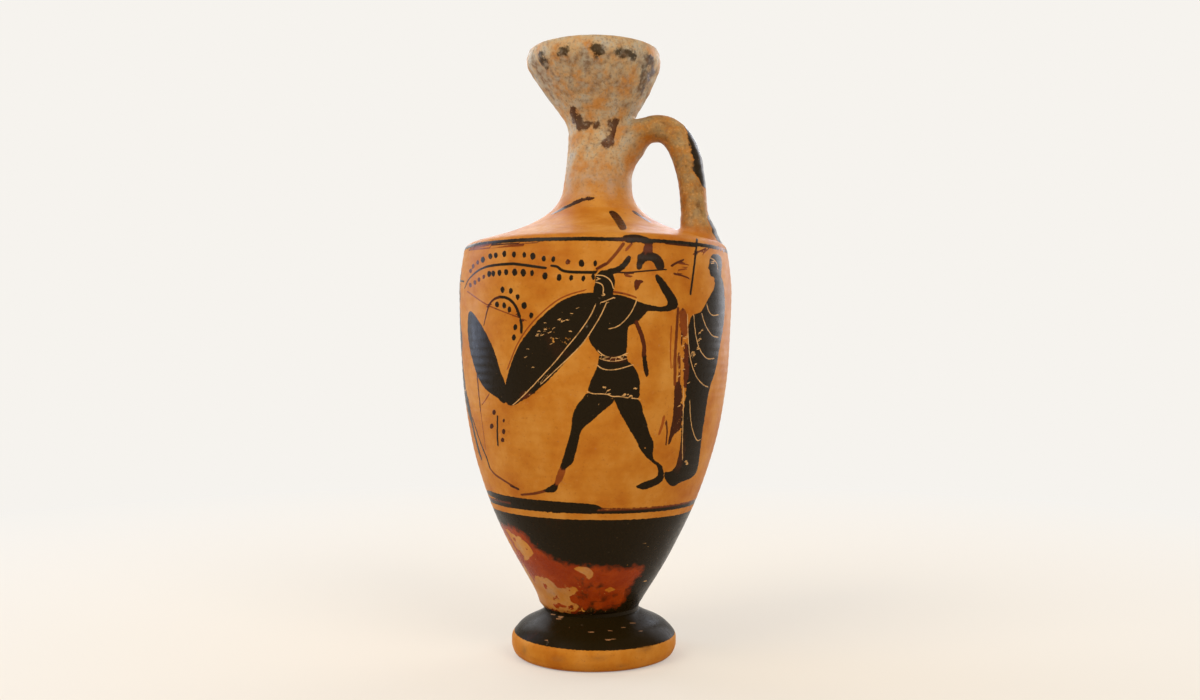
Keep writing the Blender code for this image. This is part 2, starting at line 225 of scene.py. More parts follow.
@dataclass(frozen=True)
class Form:
    """The outside of the vessel from the foot's stem to the lip, which all its pieces share."""

    stem_radius: float = 15.0
    base_height: float = 16.1
    base_angle: float = 59.3
    base_pull: float = 45.7
    body_radius: float = frame_size("body", 0)
    belly_height: float = 120.0
    belly_pull: float = 47.9
    shoulder_height: float = 134.0
    shoulder_inset: float = 1.5
    shoulder_draw: float = 4.5
    draw_lean: float = 0.09
    corner_radius: float = 3.2
    corner_rise: float = 0.9
    corner_pull: float = 0.55
    shoulder_slope: float = 15.9
    shoulder_pull: float = 16.7
    neck_start: float = 155.0
    neck_spread: float = 0.95
    neck_pull: float = 9.2
    neck_radius: float = 10.35
    waist_height: float = 174.0
    waist_pull: float = 5.0
    flare_pull: float = 4.4
    mouth_radius: float = frame_size("neck_and_mouth", 0)
    cup_angle: float = 62.7
    cup_height: float = 191.0
    cup_pull: float = 11.1
    cheek_width: float = 3.0
    cheek_pull: float = 2.0
    mouth_height: float = 197.7
    mouth_top: float = frame_size("neck_and_mouth", 2)
    lip_drop: float = 1.2
    lip_pull: float = 0.75
    join_radius: float = 14.95

    def wall(self) -> np.ndarray:
        """The body's wall.

        Returns:
            Its line from the base to the corner of the shoulder.
        """
        belly = (self.body_radius, self.belly_height)
        edge = (self.body_radius - self.shoulder_inset, self.shoulder_height)
        draw = self.shoulder_draw
        lower = curve((self.stem_radius, self.base_height), along(self.base_angle, self.base_pull),
                      (0.0, -self.belly_pull), belly)
        return chain(lower, curve(belly, (0.0, draw), (draw * self.draw_lean, -draw), edge))

    def shoulder(self) -> np.ndarray:
        """The shoulder.

        Returns:
            Its line over the rounded corner and up the sweep that becomes the neck.
        """
        round_ = self.corner_radius
        edge = self.wall()[-1]
        top = edge + np.array((-round_, round_ * self.corner_rise))
        corner = curve(edge, (0.0, round_ * self.corner_pull), along(-self.shoulder_slope, round_ / 2), top)
        neck = (self.neck_radius + self.neck_spread, self.neck_start)
        sweep = curve(top, along(180 - self.shoulder_slope, self.shoulder_pull), (0.0, -self.neck_pull),
                      neck)
        return chain(corner, sweep)

    def neck(self) -> np.ndarray:
        """The neck, from the shoulder's sweep to its narrow waist."""
        pull = (0.0, self.waist_pull)
        return curve(self.shoulder()[-1], pull, (0.0, -self.waist_pull), (self.neck_radius,
                                                                          self.waist_height))

    def mouth(self) -> np.ndarray:
        """The mouth.

        Returns:
            Its line from the waist up the cup to the top of the lip.
        """
        waist = (self.neck_radius, self.waist_height)
        cup = (self.mouth_radius - self.cheek_width, self.cup_height)
        widest = (self.mouth_radius, self.mouth_height)
        top = (self.mouth_radius - self.lip_drop, self.mouth_top)
        flare = curve(waist, (0.0, self.flare_pull), along(180 + self.cup_angle, self.cup_pull), cup)
        cheek = curve(cup, along(self.cup_angle, self.cheek_pull), (0.0, -self.cheek_pull), widest)
        lip = curve(widest, (0.0, self.lip_drop), (self.lip_drop * self.lip_pull, 0.0), top)
        return chain(flare, cheek, lip)

    def side(self) -> np.ndarray:
        """The whole outside, which rises all the way."""
        return evenly(chain(self.wall(), self.shoulder(), self.neck(), self.mouth()))


@dataclass(frozen=True)
class Throwing:
    """The unevenness that the wheel and the hand leave, the same for every piece at a place.

    Lean is how far the axis stands to the right of true, as seen from the front, and fullness is how
    far the wall stands out. Both are given at a few heights. A sway is a wave round the wall: its depth,
    how often it goes round, where it starts, and the rise over which that turns by a radian.
    """

    lean: tuple[Point, ...] = (
        (0, -0.5), (11, -0.6), (15, -1.1), (17, -2.0), (20, -1.3), (28, -1.0), (45, -1.0), (90, 0.0),
        (145, 0.0), (163, 1.3), (184, 1.2), (198, -0.8), (202, -0.4))
    fullness: tuple[Point, ...] = (
        (12, 0.0), (17, 1.3), (20, 0.6), (28, 0.7), (36, 0.9), (66, 0.0), (110, 0.2), (131, 0.8),
        (138, 0.2), (149, 1.2), (158, 0.0), (180, 0.1), (192, 0.8), (203, 0.3))
    sways: tuple[tuple[float, int, float, float], ...] = ((0.14, 2, 0.6, 45.0), (0.07, 3, 0.0, -30.0))
    ridge: float = 0.035
    ridge_mm: float = 2.6
    ridge_lead: float = 0.35
    lump: float = 0.10
    lump_mm: float = 11.0
    pitted: float = 0.16
    pitted_mm: float = 2.3
    pitted_from: Point = (146.0, 164.0)
    free_from: float = 1.0
    free_by: float = 8.0
    still_within: float = 10.0

    def read(self, points: Sequence[Point], height: np.ndarray) -> np.ndarray:
        """The smoothed value of lean or fullness at some heights."""
        line = softened(points, False)
        return np.interp(height, line[:, 0], line[:, 1])

    def bend(self, places: np.ndarray, side: "Side") -> np.ndarray:
        """Moves points as the hand-made vessel departs from a true one.

        Args:
            places: points in millimetres.
            side: the true outside, beyond which a handle stays where it is.

        Returns:
            The moved points.
        """
        out = np.hypot(places[:, 0], places[:, 1])
        angle = np.arctan2(places[:, 1], places[:, 0])
        height = places[:, 2]
        beyond = np.clip((out - side.radius(height) - self.free_from) / self.free_by, 0.0, 1.0)
        held = 1.0 - beyond * (height > side.shoulder)
        swell = self.ridge * np.sin(math.tau * height / self.ridge_mm + self.ridge_lead * angle)
        for depth, times, start, rise in self.sways:
            swell += depth * np.sin(times * angle + start + height / rise)
        eaten = self.pitted * np.interp(height, self.pitted_from, (0.0, 1.0))
        for depth, size in ((self.lump, self.lump_mm), (eaten, self.pitted_mm)):
            swell += depth * np.array([noise.noise(Vector(p) / size) for p in places])
        swell += held * self.read(self.fullness, height)
        share = np.clip(out / self.still_within, 0.0, 1.0) * swell / np.maximum(out, 1.0)
        moved = places.copy()
        moved[:, :2] *= 1.0 + share[:, None]
        moved[:, :2] += (held * self.read(self.lean, height))[:, None] * side.view.right()
        return moved


class Side:
    """Reads the vessel's outside by height, and lays the drawing on it as it is seen from the view."""

    STEPS = 700
    IN_FRONT = 48.0
    BEHIND = 6.0

    def __init__(self, form: Form, foot: "Foot", view: View, throwing: Throwing) -> None:
        """Measures the outside once.

        Args:
            form: the vessel's outside above the foot.
            foot: what it stands on.
            view: where the drawing is seen from.
            throwing: how the made vessel departs from the form.
        """
        self.line = chain(evenly(foot.profile()), form.side())
        self.run = run_of(self.line)
        self.shoulder = form.shoulder_height
        self.view = view
        self.throwing = throwing

    def radius(self, height: np.ndarray) -> np.ndarray:
        """The outside's radius at a height."""
        return np.interp(height, self.line[:, 1], self.line[:, 0])

    def climb(self, height: np.ndarray) -> np.ndarray:
        """The distance up the outside at a height."""
        return np.interp(height, self.line[:, 1], self.run)

    def laid(self, drawn: np.ndarray) -> np.ndarray:
        """Where points of the drawing fall on the wall.

        Args:
            drawn: points across and up the drawing, which stands in front of the view.

        Returns:
            The angle round the vessel and the distance up its outside of each point.
        """
        view = self.view
        reach = np.linspace(view.distance - self.IN_FRONT, view.distance + self.BEHIND,
                            self.STEPS) / view.drawing
        across = drawn[:, :1] * reach
        deep = view.drawing * reach - view.distance
        height = view.height + (drawn[:, 1:] - view.height) * reach
        across = across - self.throwing.read(self.throwing.lean, height)
        out = np.hypot(across, deep) - self.radius(height)
        hit = (out < 0.0).argmax(axis=1)
        missed = ~(out < 0.0).any(axis=1)
        hit[missed] = out[missed].argmin(axis=1)
        row = np.arange(len(drawn))
        return np.column_stack((np.arctan2(across[row, hit], -deep[hit]), self.climb(height[row, hit])))


# The painting.

class Tool(Enum):
    """How a mark is made on the clay."""

    FILL = "an outline filled with slip"
    PULL = "one pull of a brush"
    SCRATCH = "a line scratched through the slip"
    RUB = "slip that has come away"
    RED = "slip that fired red"
    BLACK = "slip that stayed black in the red"

    @property
    def fills(self) -> bool:
        """Whether the tool covers what its line encloses."""
        return self not in (Tool.PULL, Tool.SCRATCH)


class Back(Enum):
    """What the half of the vessel that isn't seen has of a mark."""

    MIRRORED = "the mark the other way round"
    TURNED = "the mark half a turn on"
    BARE = "nothing"


@dataclass(frozen=True)
class Mark:
    """One mark of the painting, through points of the drawing.

    Width counts for a pull and a scratch, and thin is the share by which the slip is watered.
    A mark that isn't seen is given in millimetres round the widest wall and real heights.
    """

    tool: Tool
    points: Sequence[Point]
    width: float = 0.0
    end_width: float | None = None
    thin: float = 0.0
    hidden: bool = False


@dataclass(frozen=True)
class Wash:
    """A soft patch of the drawing in which one of the fields rises to an amount."""

    name: str
    middle: Point
    size: Point
    amount: float
    hidden: bool = False


def dots(middles: Iterable[Point], wide: float = 1.2, high: float = 1.9, thin: float = 0.0,
         tool: Tool = Tool.FILL) -> list[Mark]:
    """Small oval dabs of slip.

    Args:
        middles: where they are on the drawing.
        wide: their breadth.
        high: their height.
        thin: how watered they are.
        tool: how they are made.

    Returns:
        The dabs as filled marks.
    """
    turns = [math.tau * k / DOT_CORNERS for k in range(DOT_CORNERS)]
    shape = [(0.54 * wide * math.cos(a), 0.54 * high * math.sin(a)) for a in turns]
    return [Mark(tool, [(x + dx, z + dz) for dx, dz in shape], thin=thin) for x, z in middles]


class Canvas:
    """The painting's fields on a piece, one value for each vertex.

    Distances are in millimetres. Slip, red and bare are below nought inside a painted outline.
    A brush or graver line keeps the side as its sign, so that it stays crisp between vertices.
    """

    FIELDS = {"slip": FAR, "red": FAR, "brush": FAR, "brush_near": FAR, "graver": FAR,
              "graver_near": FAR, "thin": 0.0, "worn": 0.0, "dust": 0.0, "crust": 0.0, "soil": 0.0}
    MARGIN = 2.5
    BROAD = 1.3
    SKIN = 0.3
    LEAST_RADIUS = 5.0

    def __init__(self, side: Side, places: np.ndarray, round_from: float) -> None:
        """Reads where a piece's vertices are on the vessel.

        Args:
            side: the vessel's outside.
            places: the vertices, in millimetres.
            round_from: the angle, in degrees, that the painting's two halves mirror each other about.
        """
        self.side = side
        self.middle = math.radians(round_from)
        turn = side.view.angles(places) - self.middle
        self.turn = self.middle + (turn + math.pi) % math.tau - math.pi
        self.height = places[:, 2]
        self.climb = side.climb(self.height)
        self.radius = np.hypot(places[:, 0], places[:, 1])
        self.outer = np.abs(self.radius - side.radius(self.height)) < self.SKIN
        self.fields = {name: np.full(len(places), value) for name, value in self.FIELDS.items()}
        self.lead = np.full(len(places), FAR)

    def around(self, line: np.ndarray, margin: float) -> np.ndarray:
        """Finds the vertices near a line on the wall.

        Args:
            line: points of the line.
            margin: how near they are, in millimetres.

        Returns:
            Their numbers.
        """
        low, high = line.min(axis=0), line.max(axis=0)
        slack = margin / np.maximum(self.radius, self.LEAST_RADIUS)
        beside = (self.turn > low[0] - slack) & (self.turn < high[0] + slack)
        level = (self.climb > low[1] - margin) & (self.climb < high[1] + margin)
        return np.flatnonzero(self.outer & beside & level)

    def measure(self, near: np.ndarray, line: np.ndarray) -> tuple[np.ndarray, np.ndarray, np.ndarray]:
        """How vertices lie to a line on the wall.

        Args:
            near: which vertices.
            line: points of the line.

        Returns:
            The distance to the line, the side of it, and the share of the line at the nearest place.
        """
        scale = np.maximum(self.radius[near], 1.0)[:, None]
        step = np.diff(line, axis=0)
        run_x = step[None, :, 0] * scale
        run_y = np.broadcast_to(step[None, :, 1], run_x.shape)
        off_x = (self.turn[near][:, None] - line[None, :-1, 0]) * scale
        off_y = self.climb[near][:, None] - line[None, :-1, 1]
        length = np.maximum(run_x ** 2 + run_y ** 2, TINY)
        share = np.clip((off_x * run_x + off_y * run_y) / length, 0.0, 1.0)
        gap = np.hypot(off_x - share * run_x, off_y - share * run_y)
        best = gap.argmin(axis=1)
        row = np.arange(len(near))
        cross = run_x[row, best] * off_y[row, best] - run_y[row, best] * off_x[row, best]
        place = (best + share[row, best]) / len(step)
        return gap[row, best], np.where(cross >= 0.0, 1.0, -1.0), place

    def within(self, near: np.ndarray, line: np.ndarray) -> np.ndarray:
        """Finds the vertices inside a closed line, by counting the edges to one side.

        Args:
            near: which vertices to look at.
            line: points of the line.

        Returns:
            Whether each vertex is inside.
        """
        x, y = self.turn[near][:, None], self.climb[near][:, None]
        ax, ay, bx, by = line[None, :-1, 0], line[None, :-1, 1], line[None, 1:, 0], line[None, 1:, 1]
        spans = (ay > y) != (by > y)
        rise = np.where(np.abs(by - ay) < TINY, TINY, by - ay)
        return ((spans & (x < ax + (y - ay) / rise * (bx - ax))).sum(axis=1) % 2) == 1

    def place(self, points: np.ndarray, hidden: bool) -> np.ndarray:
        """Where points fall on the wall.

        Args:
            points: points of the drawing, or millimetres round the belly and up.
            hidden: whether they are given round the belly, where the drawing doesn't reach.

        Returns:
            The angle round the vessel and the distance up its outside of each point.
        """
        if not hidden:
            return self.side.laid(points)
        return np.column_stack((points[:, 0] / self.side.line[:, 0].max(), self.side.climb(points[:, 1])))

    def lines(self, mark: Mark, back: Back) -> list[np.ndarray]:
        """A mark's lines on the wall.

        Args:
            mark: what to draw.
            back: what the half that isn't seen has of it.

        Returns:
            The line itself and the one at the back, if there is one.
        """
        laid = self.place(softened(mark.points, mark.tool.fills), mark.hidden)
        if back is Back.BARE:
            return [laid]
        other = laid.copy()
        other[:, 0] = 2 * self.middle - laid[:, 0] if back is Back.MIRRORED else laid[:, 0] - math.pi
        return [laid, other]

    def lead_with(self, near: np.ndarray, depth: np.ndarray, thin: float) -> None:
        """Takes a mark's wateriness where it is the nearest one.

        Args:
            near: the vertices near the mark.
            depth: how far outside it each of them is.
            thin: how watered it is.
        """
        closer = near[depth < self.lead[near]]
        self.fields["thin"][closer] = thin
        self.lead[near] = np.minimum(self.lead[near], depth)

    def draw(self, mark: Mark, back: Back = Back.MIRRORED) -> None:
        """Adds a mark to the fields.

        Args:
            mark: what to draw.
            back: what the half that isn't seen has of it.
        """
        for line in self.lines(mark, back):
            near = self.around(line, self.MARGIN + mark.width)
            if not len(near):
                continue
            gap, hand, place = self.measure(near, line)
            if mark.tool.fills:
                self.flood(mark, near, np.where(self.within(near, line), -gap, gap))
                continue
            end = mark.width if mark.end_width is None else mark.end_width
            half = (mark.width + (end - mark.width) * place) / 2
            if mark.tool is Tool.PULL and max(mark.width, end) >= self.BROAD:
                self.flood(mark, near, gap - half)
                continue
            if mark.tool is Tool.PULL:
                self.lead_with(near, gap - half, mark.thin)
            name = "brush" if mark.tool is Tool.PULL else "graver"
            closer = gap < self.fields[name + "_near"][near]
            self.fields[name][near[closer]] = (hand * gap / half)[closer]
            self.fields[name + "_near"][near[closer]] = gap[closer]

    def flood(self, mark: Mark, near: np.ndarray, depth: np.ndarray) -> None:
        """Adds a filled area.

        Args:
            mark: what fills it.
            near: the vertices near it.
            depth: how far outside it each of them is, below nought inside.
        """
        slip = self.fields["slip"]
        if mark.tool is Tool.RUB:
            slip[near] = np.maximum(slip[near], -depth)
        elif mark.tool is Tool.RED:
            self.fields["red"][near] = np.minimum(self.fields["red"][near], depth)
        else:
            if mark.tool is Tool.BLACK:
                self.fields["red"][near] = np.maximum(self.fields["red"][near], -depth)
            slip[near] = np.minimum(slip[near], depth)
            self.lead_with(near, depth, mark.thin)

    def band(self, low: float, high: float, drift: float = 0.0, thin: float = 0.0) -> None:
        """Paints a band right round the vessel while it turns on the wheel.

        Args:
            low: its lower edge, as a height at the front.
            high: its upper edge.
            drift: how far it rises from right to left.
            thin: how watered it is.
        """
        level = self.climb + drift * np.sin(self.turn)
        bottom, top = self.side.climb(np.array((low, high)))
        depth = np.maximum(bottom - level, level - top)
        near = np.flatnonzero(self.outer)
        self.fields["slip"][near] = np.minimum(self.fields["slip"][near], depth[near])
        self.lead_with(near, depth[near], thin)

    def wash(self, wash: Wash) -> None:
        """Raises a field softly round a place of the drawing.

        Args:
            wash: which field, where and by how much.
        """
        middle = self.place(np.array([wash.middle]), wash.hidden)[0]
        across = (self.turn - middle[0]) * self.radius / wash.size[0]
        up = (self.climb - middle[1]) / wash.size[1]
        amount = wash.amount * np.exp(-across ** 2 - up ** 2) * self.outer
        self.fields[wash.name] = np.maximum(self.fields[wash.name], amount)

    def store(self, mesh: bpy.types.Mesh) -> None:
        """Writes the fields on a mesh as attributes of its vertices.

        Args:
            mesh: the piece's mesh.
        """
        for name, values in self.fields.items():
            layer = mesh.attributes.new(name, "FLOAT", "POINT")
            layer.data.foreach_set("value", values.astype(np.float32))


@dataclass(frozen=True)
class Frieze:
    """The painted frieze: vines with berries, fighters with shields, and a cloaked onlooker.

    Points are millimetres across and up a drawing that stands in front of the view.
    """

    incised: float = 0.32
    left_at: float = -59.5
    left_share: float = 0.72

    def pull(self, points: Sequence[Point], width: float, end: float | None = None,
             thin: float = 0.0) -> Mark:
        """One pull of the brush."""
        return Mark(Tool.PULL, points, width, end, thin)

    def fill(self, points: Sequence[Point], thin: float = 0.0) -> Mark:
        """An outline filled with slip."""
        return Mark(Tool.FILL, points, thin=thin)

    def scratch(self, *lines: Sequence[Point]) -> list[Mark]:
        """Incised lines."""
        return [Mark(Tool.SCRATCH, points, self.incised) for points in lines]

    def flecks(self, places: Sequence[Point], size: float) -> list[Mark]:
        """Small chips through the slip, down to the pale clay."""
        return [Mark(Tool.SCRATCH, [(x - size / 4, z), (x + size / 4, z + size / 8)], size) for x,
                z in places]

    def vines(self) -> list[Mark]:
        """The vine branches with rows of berries on both sides.

        Returns:
            The branches, then the berries.
        """
        upper = [(-32.8, 127.9), (-30.6, 128.9), (-29, 129.2), (-26.5, 129.6), (-23.7, 129.5),
                 (-20.7, 129.3),
                 (-15, 128.2), (-12.2, 128), (0, 126.8)]
        lower = [(-31, 123.7), (-29.8, 123.8), (-28, 124), (-26, 124.2), (-18.5, 124), (-7, 122.5),
                 (-3.5, 122.4),
                 (-0.6, 122.8)]
        large = [(-18.2, 128.9), (-4, 126.8), (-23.5, 124.2), (-21, 124.1), (-14.7, 123.1), (-10.6, 122.6)]
        inner = [(-27.2, 119), (-24.8, 118.7), (-22.8, 116.9), (-18.9, 111.4), (-28.9, 114.7),
                 (-26.8, 114.4), (-25.3, 113.1), (-23.6, 107.9), (-24, 104.9)]
        faint = [(-36.4, 124.6), (-35.6, 126), (-34.3, 127.1), (-36.6, 120.4), (-35.2, 121.2), (-34, 122),
                 (-32.6, 122.9)]
        brown = [(-8, 127.2)]
        return [
            self.pull([(-38.3, 119.5), (-37, 122.5), (-33, 125.6), (-29, 126.4), (-24, 126.7)], 0.5, 1.0),
            self.pull([(-24, 126.7), (-20, 126.2), (-14.5, 125.4)], 1.0, 0.8),
            self.pull([(-12.8, 126.1), (-11, 125.9), (-10, 124.8), (-8, 124.2), (0, 124.1)], 0.7, 1.0),
            self.pull([(-32.8, 108.6), (-32, 112), (-31.3, 114.5), (-30, 116.2), (-28, 116.9)], 0.4, 0.9,
                      0.3),
            self.pull([(-28, 116.9), (-26, 116.7), (-24.2, 115.4), (-22.8, 113), (-21.7, 109),
                       (-21.8, 106.5)], 0.9, 1.1),
            self.pull([(-37.5, 118.5), (-32, 114.5), (-27, 112.5), (-20.5, 110)], 0.45, 0.35, 0.75),
            *dots(upper), *dots(lower), *dots(large, 1.6, 2.3), *dots(inner),
            *dots([(-20.9, 114.3)], 1.7, 2.2), *dots(faint, 0.9, 1.4, 0.45), *dots(brown, 1.5, 1.8, 0.55),
        ]

    def shields(self) -> list[Mark]:
        """The big shield seen from its edge, and the dark cloak beside it.

        Returns:
            Both outlines, the chips in them and the incised rim.
        """
        shield = [(-26.7, 90), (-26.5, 92), (-25, 97), (-22.5, 103), (-18, 109), (-12, 114.5), (-8, 116.8),
                  (-4, 118), (0, 118.3), (4, 117.4), (3.3, 115.2), (0, 108.5), (-4, 102.5), (-8, 98.5),
                  (-14, 92), (-19, 87.7), (-22, 86), (-25, 84.2), (-27, 86)]
        cloak = [(-36.9, 113.4), (-34, 109.5), (-31, 104), (-28.9, 98), (-28.3, 95), (-26.8, 92),
                 (-26.2, 88),
                 (-26.5, 85), (-28.3, 86), (-28.8, 87), (-31, 88.2), (-33, 90), (-34.8, 93), (-36, 97),
                 (-37, 101), (-37.7, 106), (-37.6, 111)]
        chips = [(-16.6, 106.8), (-14.7, 107.3), (-13.4, 106.4), (-15.6, 105.6), (-9.6, 109.6),
                 (-8.2, 110.1),
                 (-7.3, 106.7), (-10.6, 110.3), (-17.2, 105.4)]
        specks = [(-12.3, 107.6), (-13, 103), (-18.5, 96), (-19.9, 101.5), (-7, 112), (-14.8, 109.2),
                  (-20.6, 99),
                  (-11.4, 104.6), (-5.2, 113.6)]
        return [
            self.fill(shield), self.fill(cloak), *self.flecks(chips, 0.36), *self.flecks(specks, 0.24),
            self.pull([(-26, 95.6), (-22.9, 103.6), (-18.4, 109.8), (-12.2, 115.4), (-8, 117.6),
                       (-3, 118.9)], 0.5, 0.4,
                      0.8),
            *self.scratch(
                [(0, 114.4), (-1.5, 111), (-5, 106), (-8, 102.5), (-12, 97.5), (-16, 93.3), (-19, 90),
                 (-22, 87), (-24.3, 85)],
                [(3.3, 115.2), (1.5, 111), (-2, 105.5), (-4, 102.7), (-8, 98.7), (-12, 95), (-16, 91.2)]),
        ]

    def striding(self) -> tuple[list[Sequence[Point]], list[Sequence[Point]]]:
        """A striding fighter with an arm raised behind.

        Returns:
            The outlines of the helmet, torso, kilt, legs and arm, and the lines incised in them.
        """
        helmet = [(-0.4, 117.6), (-0.6, 119.4), (0.1, 121), (-0.2, 122.4), (0.8, 124.2), (2.6, 124.9),
                  (4.5, 124.5),
                  (5.7, 122.8), (5.8, 120.4), (5.2, 118.6), (5.4, 117.4), (3, 116.6)]
        torso = [(2, 117), (5.5, 117.6), (8, 117.4), (11, 116.2), (15, 114.7), (15.3, 112.5), (13.5, 110.5),
                 (11.8, 109), (9.8, 108.5), (9.4, 106), (9.3, 100), (8, 99), (5, 98.7), (2, 99.2),
                 (0.6, 100.6),
                 (-2.5, 104.5), (0, 108.5), (1.5, 111)]
        kilt = [(1, 100.6), (9.3, 100.2), (9.3, 98), (11, 96.8), (12.5, 94.5), (13.2, 92), (13, 90),
                (13.2, 86.5), (9.5, 87), (5, 87.2), (2, 88), (-2.2, 88.8), (-2, 90.5), (-0.5, 94),
                (0.8, 96.6)]
        near_leg = [(-2.3, 89), (-3.5, 87), (-5.5, 85), (-6.8, 82), (-7, 79), (-7.4, 76.5), (-8.4, 73),
                    (-9.6, 69), (-10.6, 66), (-9.4, 65.4), (-8.2, 66.5), (-6.6, 67.6), (-5.5, 71.5),
                    (-4.8, 75), (-4.2, 77.5), (-2.5, 79), (0, 81), (2, 83), (5.5, 85.5), (6, 88)]
        far_leg = [(5.5, 88), (6.3, 84.5), (7.5, 82), (9.3, 79), (11, 76), (12.3, 74), (13, 72), (14.5, 70),
                   (16.5, 68), (18.4, 66.8), (18.5, 64.2), (17.5, 63.2), (14, 62), (11, 60.6), (14, 59.7),
                   (16.5, 60.5), (20, 62.2), (20, 65.5), (19.5, 67.2), (17.2, 68.6), (16.8, 70),
                   (17.3, 72.8),
                   (17, 74.5), (15.7, 77), (15.2, 80), (14.2, 82), (13.4, 87)]
        arm = [(14, 115), (17, 114.3), (20, 113.8), (22.3, 115), (23.9, 116), (24, 114), (22.5, 112.8),
               (20, 112.4), (16, 112.8), (14, 112.5)]
        forearm = [(17.4, 124), (19.2, 122.8), (21.2, 120.2), (23.2, 117.4), (24.4, 114.8), (23.4, 112.8),
                   (21, 113.4),
                   (21.2, 115.8), (19.8, 117.8), (18.6, 120.2), (17.4, 122.2)]
        cuts = [[(12.1, 115.8), (11, 113), (9.5, 110.8), (7.5, 108.7), (5.8, 107.8), (4.3, 107.5)],
                [(1.8, 115.2), (5.5, 116.7)],
                [(1, 100.8), (2, 99.8), (4, 98.9), (6.5, 98.9), (9.3, 100.2)],
                [(1.6, 98.5), (4, 97.9), (6.5, 97.9), (9, 98.6)],
                [(0.8, 96.5), (2, 95.6), (4, 95.2), (7, 95.5), (11, 96.8)],
                [(-2.2, 88.8), (-1, 88.2), (2, 88.2), (4, 88), (5, 87.3), (7, 87.5), (9.5, 87), (13, 86.7)],
                [(2.2, 117.8), (2.5, 119.6), (1.8, 120.8), (0.3, 121.2)], [(0.9, 122.2), (1.8, 122.4)],
                [(0.4, 123.3), (2.6, 123.2), (4.6, 121.8), (5.3, 119.4)]]
        return [helmet, torso, kilt, near_leg, far_leg, arm, forearm], cuts

    def fighter(self) -> list[Mark]:
        """The fighter in the middle, with a crest, a spear and the brown of thin slip beside them.

        Returns:
            The outlines and strokes, then the incised lines and chips.
        """
        shapes, cuts = self.striding()
        foot = [(-11, 62.2), (-11.2, 59.2), (-13.5, 58.9), (-16.5, 59.2), (-14, 60.4)]
        return [
            *(self.fill(points) for points in shapes), self.fill(foot),
            self.fill([(-10.7, 66.4), (-8.5, 66.4), (-9.4, 63.2), (-10.8, 61.2), (-12.2, 61), (-11.6, 63.6)],
                      0.75),
            self.pull([(-15, 59.4), (-18, 58.6), (-21.8, 58.3)], 1.1, 0.7, 0.6),
            self.pull([(4, 124.2), (6.8, 124.9), (8.8, 126.6), (9.8, 128.4)], 1.9, 1.5),
            self.pull([(0.5, 125.2), (3, 126.6)], 0.9, 1.1, 0.45),
            self.pull([(3.6, 126.9), (6, 129.6), (8.2, 132.6)], 0.9, 1.1, 0.6),
            self.pull([(9, 130.8), (10.6, 132.6)], 0.9, 0.7, 0.75),
            self.fill([(7.4, 134.9), (10, 135.4), (13, 135.3), (16.6, 134), (17, 132.6), (15.4, 132.4),
                       (12, 133.1),
                       (9, 132.6)], 0.1),
            self.fill([(14.2, 132.9), (16.9, 132.8), (16.6, 129.4), (13.6, 129.2)], 0.5),
            self.fill([(12.2, 129.4), (14, 130.1), (16.4, 130.2), (18.8, 129.2), (20, 127.2), (20.1, 124.7),
                       (17.8, 124.7),
                       (17.2, 126.6), (16.2, 127.6), (14.8, 127.6), (13.8, 126.6), (13.4, 124.8),
                       (11.9, 124.8),
                       (12.1, 127)], 0.12),
            self.pull([(6, 124.2), (9, 124), (14, 124.5), (20.4, 125)], 0.55, 0.45, 0.15),
            self.fill([(11.4, 122.4), (12.4, 121.8), (13.4, 122), (14.4, 121.2), (13, 120.8), (12.8, 119.4),
                       (11.8, 118.4),
                       (11.2, 120)], 0.4),
            self.pull([(9, 123.2), (10.4, 122.9)], 0.8, 0.6, 0.6),
            self.pull([(5.6, 118.3), (8.2, 118), (11.8, 116.8)], 0.7, 0.5, 0.75),
            self.pull([(12, 109.5), (13.5, 106), (14.4, 102.5), (14.3, 99.5)], 1.3, 1.4, 0.4),
            self.fill([(13.7, 101.4), (14.9, 100), (15.2, 97), (16, 94), (15, 92.8), (14.2, 95), (13.9, 98)],
                      0.12),
            *self.scratch(*cuts),
            *self.flecks([(2.4, 117.4), (3.9, 89.2), (2.6, 90.1), (11.8, 89.8), (9.6, 87.9), (8.6, 88.1),
                          (10.4, 87.6)], 0.5),
        ]

